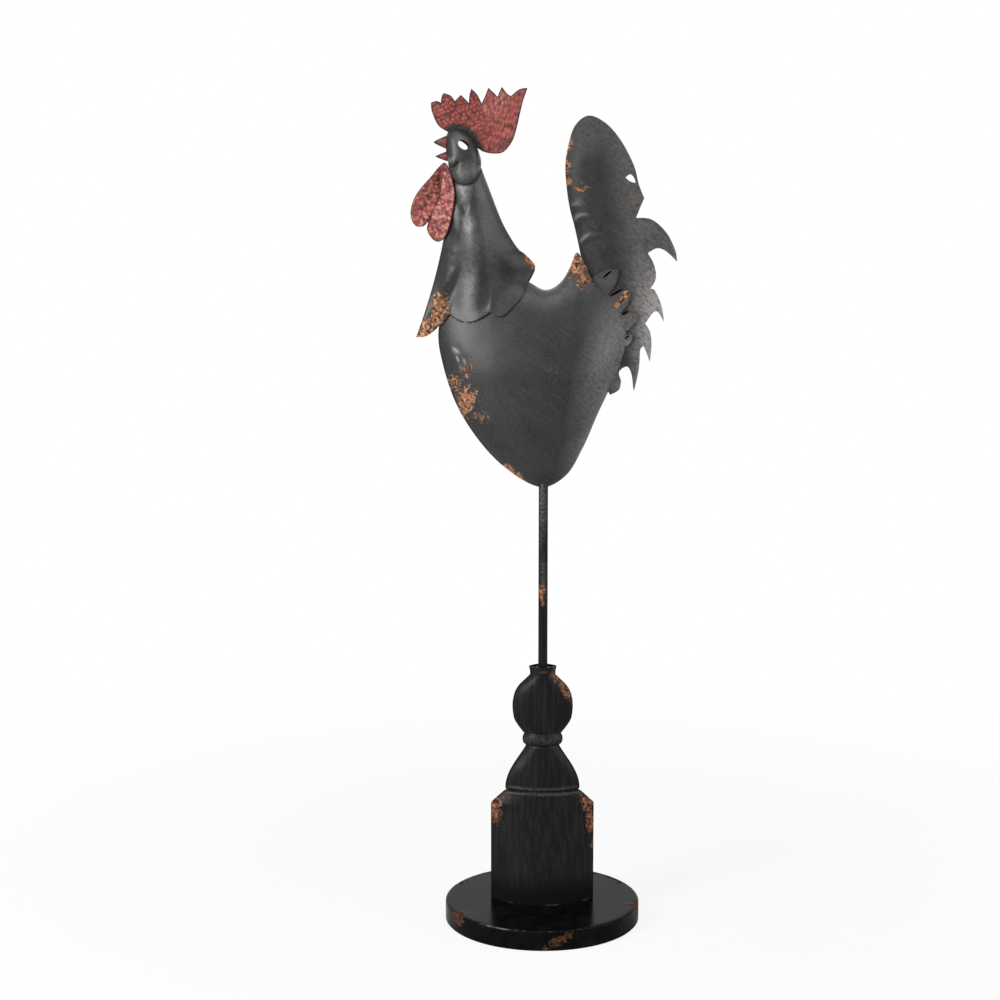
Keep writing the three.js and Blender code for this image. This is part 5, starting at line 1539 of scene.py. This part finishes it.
def lens(u, z, half_width):
    """Half section of the finial at a height, from seam to seam"""
    wider = np.maximum(0.0, (half_width - WAIST_HALF_WIDTH) / (BLOCK_HALF_WIDTH - WAIST_HALF_WIDTH))
    down = (BLOCK_TOP - z) / (BLOCK_SPREAD_SHARE * BLOCK_HEIGHT)
    lower = sum(np.clip(down + shift, 0, 1) for shift in (-BLOCK_BEND, 0.0, BLOCK_BEND)) / 3 * (down > 0)
    half_depth = mix(THROAT_HALF_DEPTH, BLOCK_TOP_HALF_DEPTH, wider)
    half_depth = half_depth + lower * (BLOCK_FOOT_HALF_DEPTH - BLOCK_TOP_HALF_DEPTH)
    return half_width * u, half_depth * np.maximum(0, 1 - u * u) ** FINIAL_FULLNESS


def either_side(z, place, offset, reach):
    """Two soft bands around the finial, as far below a height as above it"""
    return bell(z - place + offset, reach) + bell(z - place - offset, reach)


# Rolled ridges below and above the groove between shoulder and bell, the groove, the bead and its creases
ROLL_OFFSET = 2.3
ROLL_HEIGHT = 0.6
ROLL_GROOVE = 0.7
BEAD_RISE = 1.2
BEAD_CREASE = 0.6
# Height and length of the pressed sheet's unevenness
FINIAL_UNEVENNESS = 0.22
FINIAL_RIPPLE_LENGTH = 9.0
# Painted shade rises this far up the block's foot
FOOT_SHADE_HEIGHT = 36
# Runs of x along the block's foot: weld tacks in front, and where a highlight is painted along its lower edge
TACK_RUNS = ((-31, -25), (2, 17), (34.5, 41))
FOOT_HIGHLIGHT_RUNS = ((-math.inf, -33), (-24, 1), (17, 34))
TACK_RADIUS = 1.5
TACK_POINTS_ALONG = 17
TACK_POINTS_AROUND = 12
FINIAL_WEAR = [
    (20, 212, 5, 19, 22, 1.05),
    (12, 222, 6, 6, 0, 0.8),
    (-41, 99, 5.5, 13, 0, 0.9),
    (40, 104, 6, 9, 30, 1.1),
    (43, 88, 5, 15, 0, 1.0),
    (43.5, 70, 3, 8, 0, 0.6),
    (-38, 108, 6, 2.5, 38, 0.6),
    (37, 110, 8, 2.5, -38, 0.8),
]


class ROOSTER_OT_finial(PieceOperator):
    """Two pressed halves of the flattened finial, and the bead on which the block sits"""

    bl_idname = "rooster.finial"
    bl_label = "Finial"

    def make(self, bird, stand):
        heights, widths = finial_rows()
        u = -np.cos(np.linspace(0, math.pi, 57))
        for side, name in ((-1, "finial_front"), (1, "finial_back")):
            z, half = np.repeat(heights, len(u)), np.repeat(widths, len(u))
            x, y = lens(np.tile(u, len(heights)), z, half)
            uneven = 1 + grain(np.column_stack([x, y, 0.35 * z]), FINIAL_RIPPLE_LENGTH, side, 2)
            rolled = self.rolled(z) - FINIAL_UNEVENNESS * uneven
            points = np.column_stack([x, side * (y + rolled * np.clip(y / 4, 0, 1)), z])
            faces = facing(points, grid_faces(len(u), len(heights)), side)
            # Painted shade along the side edges, where the halves meet, and low on the block's foot
            edge_shade = np.clip(1.2 - (half - np.abs(x)) / 1.6, 0, 1)
            soot = np.tile(np.maximum(edge_shade, ramp((BASE_TOP + FOOT_SHADE_HEIGHT - z) / 30)), 2)
            points, faces = thickened(points, faces, SHEET)
            haze = self.haze(points)
            if side < 0:
                for run in TACK_RUNS:
                    points, faces = joined(points, faces, *self.tack(*run))
                plain = np.zeros(len(points) - len(soot))
                haze, soot = np.concatenate([haze, plain]), np.concatenate([soot, plain])
            obj = object_from(
                name + "_shell", points, faces, sharp=32.0, wear=patches(points, FINIAL_WEAR), haze=haze,
                soot=soot)
            add_piece(obj, "stand_paint", material_of(stand_enamel, stand), name)

    def rolled(self, z):
        """Height of the rolled ridges, grooves and bead over the plain form"""
        rolled = ROLL_HEIGHT * either_side(z, BELL_BOTTOM, ROLL_OFFSET, 1.1)
        rolled -= ROLL_GROOVE * bell(z - BELL_BOTTOM, 0.8)
        from_middle = (z - BEAD_BOTTOM - BEAD_HEIGHT / 2) / (BEAD_HEIGHT / 2)
        rolled += BEAD_RISE * np.maximum(0, 1 - from_middle ** 2)
        return rolled - BEAD_CREASE * (bell(z - BEAD_BOTTOM, 0.8) + bell(z - BALL_BOTTOM, 0.8))

    def haze(self, points):
        """Where the ridges and the bead are grey, partly rubbed paint and partly painted highlights, and where
        a highlight is painted along the foot's lower edge
        """
        x, z = points[:, 0], points[:, 2]
        haze = 0.32 * either_side(z, BELL_BOTTOM, ROLL_OFFSET, 1.2) + 0.2 * bell(z - BEAD_BOTTOM - 6, 3)
        foot_highlight = np.any([(x > start) & (x < end) for start, end in FOOT_HIGHLIGHT_RUNS], axis=0)
        return np.where(foot_highlight, np.maximum(haze, 0.8 * bell(z - BASE_TOP, 0.8)), haze)

    def tack(self, start, end):
        """Low lump of weld along the front of the foot between two places"""
        x = np.repeat(np.linspace(start, end, TACK_POINTS_ALONG), TACK_POINTS_AROUND)
        around = np.arange(TACK_POINTS_AROUND) / TACK_POINTS_AROUND * 2 * math.pi
        around = np.tile(around, TACK_POINTS_ALONG)
        _, foot = lens(x / BLOCK_HALF_WIDTH, BASE_TOP, BLOCK_HALF_WIDTH)
        from_middle = (x - (start + end) / 2) / ((end - start) / 2)
        thick = TACK_RADIUS * np.sqrt(np.maximum(0.02, 1 - from_middle ** 2))
        thick *= 1 + 0.25 * np.sin(2.1 * x)
        z = BASE_TOP + 0.3 + 0.8 * thick * np.sin(around)
        points = np.column_stack([x, -foot - 0.1 + thick * np.cos(around), z])
        near_end = tuple(range(TACK_POINTS_AROUND))
        far_end = tuple(range(len(points) - 1, len(points) - TACK_POINTS_AROUND - 1, -1))
        return points, [*grid_faces(TACK_POINTS_AROUND, TACK_POINTS_ALONG, wrap=True), near_end, far_end]


# Rod and cap: bore, worn places, places with painted highlights, the plate's top, its room in the collar,
# how grey it is rubbed, and how deep the weld sits in the plate
ROD_BORE = ROD_RADIUS + BORE_GAP
ROD_WEAR = [(-1.5, 294, 4, 8, 0, 0.9), (1, 285, 3, 4, 0, 0.5)]
ROD_PAINTED_HIGHLIGHTS = [(-1, 375, 5, 36, 0, 0.55), (-2, 360, 2, 30, 0, 0.4), (0, 308, 3, 22, 0, 0.4)]
CAP_TOP = FINIAL_TOP - CAP_RECESS
CAP_INSET = 1.3
CAP_HAZE = 0.25
WELD_SINK = 0.6
WELD_POINTS_AROUND = 72
WELD_POINTS_ACROSS = 12


class ROOSTER_OT_rod(PieceOperator):
    """Rod, and the cap plate with the lumpy weld around the rod's foot"""

    bl_idname = "rooster.rod"
    bl_label = "Rod and Cap"

    def make(self, bird, stand):
        heights = np.linspace(ROD_LOW[2], ROD_HIGH[2], 150)
        profile = [(0.01, heights[0]), *[(ROD_RADIUS - 0.03, z) for z in heights], (0.01, heights[-1])]
        points, faces = lathe(profile, 28)
        # Painted shade on the rod's left and right sides
        soot = np.clip((np.abs(points[:, 0]) - 0.72 * ROD_RADIUS) / (0.2 * ROD_RADIUS), 0, 1)
        obj = object_from(
            "support_rod_bar", points, faces, wear=patches(points, ROD_WEAR), haze=patches(points, ROD_PAINTED_HIGHLIGHTS),
            soot=soot)
        add_piece(obj, "stand_paint", material_of(stand_enamel, stand), "support_rod")

        points, faces = joined(*self.plate(), *self.weld())
        obj = object_from("finial_cap_plate", points, faces, haze=np.full(len(points), CAP_HAZE))
        add_piece(obj, "stand_paint", material_of(stand_enamel, stand), "finial_cap")

    def plate(self):
        """Small plate in the collar with the rod's bore"""
        u = -np.cos(np.linspace(0, math.pi, 33))
        x, y = lens(u, CAP_TOP, COLLAR_HALF_WIDTH - CAP_INSET)
        edge = [*zip(x, y), *zip(x[-2:0:-1], -y[-2:0:-1])]
        count = len(edge)
        angles = math.pi - np.arange(count) / count * 2 * math.pi
        hole = [(ROD_BORE * math.cos(a), ROD_BORE * math.sin(a)) for a in angles]
        bottom = CAP_TOP - CAP_THICKNESS
        rings = [(edge, CAP_TOP), (hole, CAP_TOP), (hole, bottom), (edge, bottom)]
        return np.array([(a, b, z) for ring, z in rings for a, b in ring]), looped_faces(count, len(rings))

    def weld(self):
        """Lumpy, flattened ring of weld around the rod's foot"""
        points = []
        for a in np.arange(WELD_POINTS_AROUND) / WELD_POINTS_AROUND * 2 * math.pi:
            lump = 1 + 0.16 * math.sin(9 * a) * math.sin(2.3 * a + 0.7)
            for t in np.arange(WELD_POINTS_ACROSS) / WELD_POINTS_ACROSS * 2 * math.pi:
                out, up = 0.5 - 0.5 * math.cos(t), 0.5 + 0.5 * math.sin(t)
                radius = ROD_BORE + (WELD_RADIUS - ROD_RADIUS - BORE_GAP) * out * lump
                z = CAP_TOP - WELD_SINK + WELD_HEIGHT * 0.95 * up * (1 - 0.75 * out)
                points.append((radius * math.cos(a), radius * WELD_FLATNESS * math.sin(a), z))
        faces = looped_faces(WELD_POINTS_ACROSS, WELD_POINTS_AROUND)
        return points, [(face[0], *face[:0:-1]) for face in faces]


# Base: rings of mesh points on its top face, and worn places along its edge as direction in degrees, reach
# inwards, spread along the edge and strength
BASE_TOP_RINGS = (80.0, 76.0, 70.0, 62.0, 54.0, 46.0, 36.0, 24.0, 12.0)
BASE_WEAR = (
    (210, 15, 10, 1.05), (347, 11, 9, 1.05), (128, 4, 16, 0.85), (75, 4, 9, 0.5), (30, 6, 8, 0.8),
)
# Worn rim at the rear: reach inwards and strength
BASE_REAR_REACH = 7
BASE_REAR_WEAR = 0.66
BASE_SCRAPE = [(14, 9.5, 16, 4.5, 32, 0.7)]


class ROOSTER_OT_base(PieceOperator):
    """Round base with eased edges, bored and counterbored for the rod"""

    bl_idname = "rooster.base"
    bl_label = "Base"

    def make(self, bird, stand):
        points, faces = lathe(self.profile(), 180)
        radius = np.hypot(points[:, 0], points[:, 1])
        from_edge = BASE_RADIUS - radius
        to_corner = np.hypot(radius - (BASE_RADIUS - 0.6), points[:, 2] - (BASE_TOP - 0.6))
        # Pale line along the top edge, stronger at the front left: partly worn paint, partly a painted
        # highlight
        edge = np.clip(1 - to_corner / 2.2, 0, 1) * mix(0.72, 1.0, bell(points[:, 0] + 37, 12))
        wear = np.zeros(len(points))
        for angle, reach, spread, strength in BASE_WEAR:
            a = math.radians(angle)
            middle = (BASE_RADIUS * math.cos(a), BASE_RADIUS * math.sin(a))
            near = np.clip(1.2 - away_from(points[:, :2], middle) / spread, 0, 1)
            near *= np.clip(1.6 - from_edge / reach, 0, 1)
            wear = np.maximum(wear, strength * near * ramp((points[:, 2] - 2) / 12))
        behind = ramp((points[:, 1] - 10) / 30) * np.clip(1.3 - from_edge / BASE_REAR_REACH, 0, 1)
        wear = np.maximum(wear, BASE_REAR_WEAR * behind * (points[:, 2] > BASE_TOP - 2.2))
        front = (points[:, 1] < -70) & (radius > BASE_RADIUS - 1)
        wear = np.where(front, np.maximum(wear, patches(points, BASE_SCRAPE)), wear)
        obj = object_from("base_disc_board", points, faces, edge=edge, wear=wear)
        add_piece(obj, "painted_board", material_of(worn_board, stand), "base_disc")

    def profile(self):
        """Section of the board from the bore's top round to the middle of the top face"""
        profile = [(ROD_BORE, BASE_TOP), (ROD_BORE, COUNTERBORE_DEPTH)]
        profile += [(COUNTERBORE_RADIUS, COUNTERBORE_DEPTH), (COUNTERBORE_RADIUS, 0.0)]
        profile += [(50.0, 0.0), (BASE_RADIUS - 1, 0.0), (BASE_RADIUS, 1.0)]
        profile += [(BASE_RADIUS, z) for z in np.linspace(2.5, BASE_TOP - BASE_EDGE_ROUND - 0.5, 7)]
        for a in np.linspace(0, math.pi / 2, 7):
            z = BASE_TOP - BASE_EDGE_ROUND + BASE_EDGE_ROUND * math.sin(a)
            profile.append((BASE_RADIUS - BASE_EDGE_ROUND + BASE_EDGE_ROUND * math.cos(a), z))
        return profile + [(r, BASE_TOP) for r in BASE_TOP_RINGS]


EASED_EDGE = 0.3


class ROOSTER_OT_hardware(PieceOperator):
    """Nut and washer under the base, with eased edges"""

    bl_idname = "rooster.hardware"
    bl_label = "Nut and Washer"

    def make(self, bird, stand):
        for name in ("rod_washer", "rod_nut"):
            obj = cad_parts[name]
            obj.data.materials.clear()
            obj.data.materials.append(material_of(zinc_steel, stand))
            ease = obj.modifiers.new("eased_edges", "BEVEL")
            ease.width = EASED_EDGE * MM
            ease.segments = 2
            ease.limit_method = "ANGLE"


# Strength of the white world as a lamp. The camera and mirrors see it at full strength.
WORLD_LIGHT = 0.2
FLOOR_HALF_WIDTH = 6000.0
# Softboxes: place, width, height and the setting of their power. All of them look at the same place.
LAMPS = {
    "left_softbox": ((-1.33, -1.14, 1.05), 0.5, 1.5, "key_power"),
    "right_softbox": ((1.55, -0.55, 0.8), 1.1, 1.4, "fill_power"),
    "top_softbox": ((-0.1, -0.5, 1.8), 0.8, 0.8, "top_power"),
}
LAMP_AIM = Vector((0.0, 0.0, 0.45))
CAMERA_X = -0.0371
CAMERA_LENS = 94.25


class ROOSTER_OT_studio(bpy.types.Operator):
    """Pale floor, soft lamps and the camera at the photograph's viewing angle"""

    bl_idname = "rooster.studio"
    bl_label = "Studio"
    bl_options = {"REGISTER", "UNDO"}

    def white_backdrop(self):
        world = bpy.data.worlds.new("white_studio")
        bpy.context.scene.world = world
        world.use_nodes = True
        tree = world.node_tree
        tree.nodes.clear()
        path = add_node(tree, "ShaderNodeLightPath")
        seen = computed(tree, "MAXIMUM", path.outputs["Is Camera Ray"], path.outputs["Is Glossy Ray"])
        seen = computed(tree, "MAXIMUM", seen, path.outputs["Is Transmission Ray"])
        light = add_node(tree, "ShaderNodeBackground", {
            "Color": (1, 1, 1, 1), "Strength": varied(tree, seen, WORLD_LIGHT, 1.0),
        })
        add_node(tree, "ShaderNodeOutputWorld", {"Surface": light.outputs["Background"]})

    def floor(self):
        half = FLOOR_HALF_WIDTH
        points = [(-half, -half, 0), (half, -half, 0), (half, half, 0), (-half, half, 0)]
        floor = object_from("studio_floor", points, [(0, 1, 2, 3)])
        material, tree = new_material("white_sweep")
        place = add_node(tree, "ShaderNodeTexCoord")
        reach = add_node(tree, "ShaderNodeVectorMath", {0: place.outputs["Object"]}, operation="LENGTH")
        path = add_node(tree, "ShaderNodeLightPath")
        far = stepped(tree, reach.outputs["Value"], 0.2, 0.9, 0.88, 1.0)
        glow = computed(tree, "MULTIPLY", far, path.outputs["Is Camera Ray"])
        paper = add_node(tree, "ShaderNodeBsdfDiffuse", {"Color": linear("#f4f4f4")})
        light = add_node(tree, "ShaderNodeEmission", {"Color": (1, 1, 1, 1), "Strength": 1.0})
        both = add_node(tree, "ShaderNodeMixShader", {0: glow, 1: paper.outputs[0], 2: light.outputs[0]})
        add_node(tree, "ShaderNodeOutputMaterial", {"Surface": both.outputs[0]})
        floor.data.materials.append(material)

    def softbox(self, name, place, width, height, power):
        lamp = bpy.data.lights.new(name, "AREA")
        lamp.shape = "RECTANGLE"
        lamp.size = width
        lamp.size_y = height
        lamp.energy = power
        obj = bpy.data.objects.new(name, lamp)
        obj.location = place
        obj.rotation_euler = (LAMP_AIM - Vector(place)).to_track_quat("-Z", "Y").to_euler()
        bpy.context.scene.collection.objects.link(obj)

    def execute(self, context):
        studio = context.scene.rooster_studio
        self.white_backdrop()
        self.floor()
        for name, (place, width, height, power) in LAMPS.items():
            self.softbox(name, place, width, height, getattr(studio, power))
        camera = bpy.data.cameras.new("photo_camera")
        camera.sensor_width = 36.0
        camera.lens = CAMERA_LENS
        camera.clip_end = 50.0
        obj = bpy.data.objects.new("photo_camera", camera)
        obj.location = (CAMERA_X, -studio.camera_distance, studio.camera_height)
        obj.rotation_euler = (math.pi / 2 - studio.camera_pitch, 0.0, 0.0)
        context.scene.collection.objects.link(obj)
        context.scene.camera = obj
        context.scene.view_settings.view_transform = "Standard"
        return {"FINISHED"}


class ROOSTER_PT_panel(bpy.types.Panel):
    """Sidebar panel with the settings and the operators in their order"""

    bl_label = "Steel Rooster"
    bl_idname = "ROOSTER_PT_panel"
    bl_space_type = "VIEW_3D"
    bl_region_type = "UI"
    bl_category = "Rooster"

    def draw(self, context):
        scene = context.scene
        for title, group in (
            ("Bird", scene.rooster_bird), ("Stand", scene.rooster_stand), ("Studio", scene.rooster_studio),
        ):
            column = self.layout.box().column()
            column.label(text=title)
            for key in group.bl_rna.properties.keys():
                if key not in ("rna_type", "name"):
                    column.prop(group, key)
        for operator in MAKERS:
            self.layout.operator(operator.bl_idname)


MAKERS = (
    ROOSTER_OT_body, ROOSTER_OT_neck, ROOSTER_OT_head, ROOSTER_OT_comb, ROOSTER_OT_beak,
    ROOSTER_OT_wattles, ROOSTER_OT_tail, ROOSTER_OT_finial, ROOSTER_OT_rod, ROOSTER_OT_base,
    ROOSTER_OT_hardware, ROOSTER_OT_studio,
)
GROUPS = {
    "rooster_bird": BirdSettings,
    "rooster_stand": StandSettings,
    "rooster_studio": StudioSettings,
}


def register():
    for group in GROUPS.values():
        bpy.utils.register_class(group)
    for key, group in GROUPS.items():
        setattr(bpy.types.Scene, key, PointerProperty(type=group))
    for maker in MAKERS:
        bpy.utils.register_class(maker)
    bpy.utils.register_class(ROOSTER_PT_panel)


def unregister():
    bpy.utils.unregister_class(ROOSTER_PT_panel)
    for maker in reversed(MAKERS):
        bpy.utils.unregister_class(maker)
    for key, group in GROUPS.items():
        delattr(bpy.types.Scene, key)
        bpy.utils.unregister_class(group)


def main():
    register()
    for maker in MAKERS:
        group, name = maker.bl_idname.split(".")
        getattr(getattr(bpy.ops, group), name)()


if __name__ == "__main__":
    main()
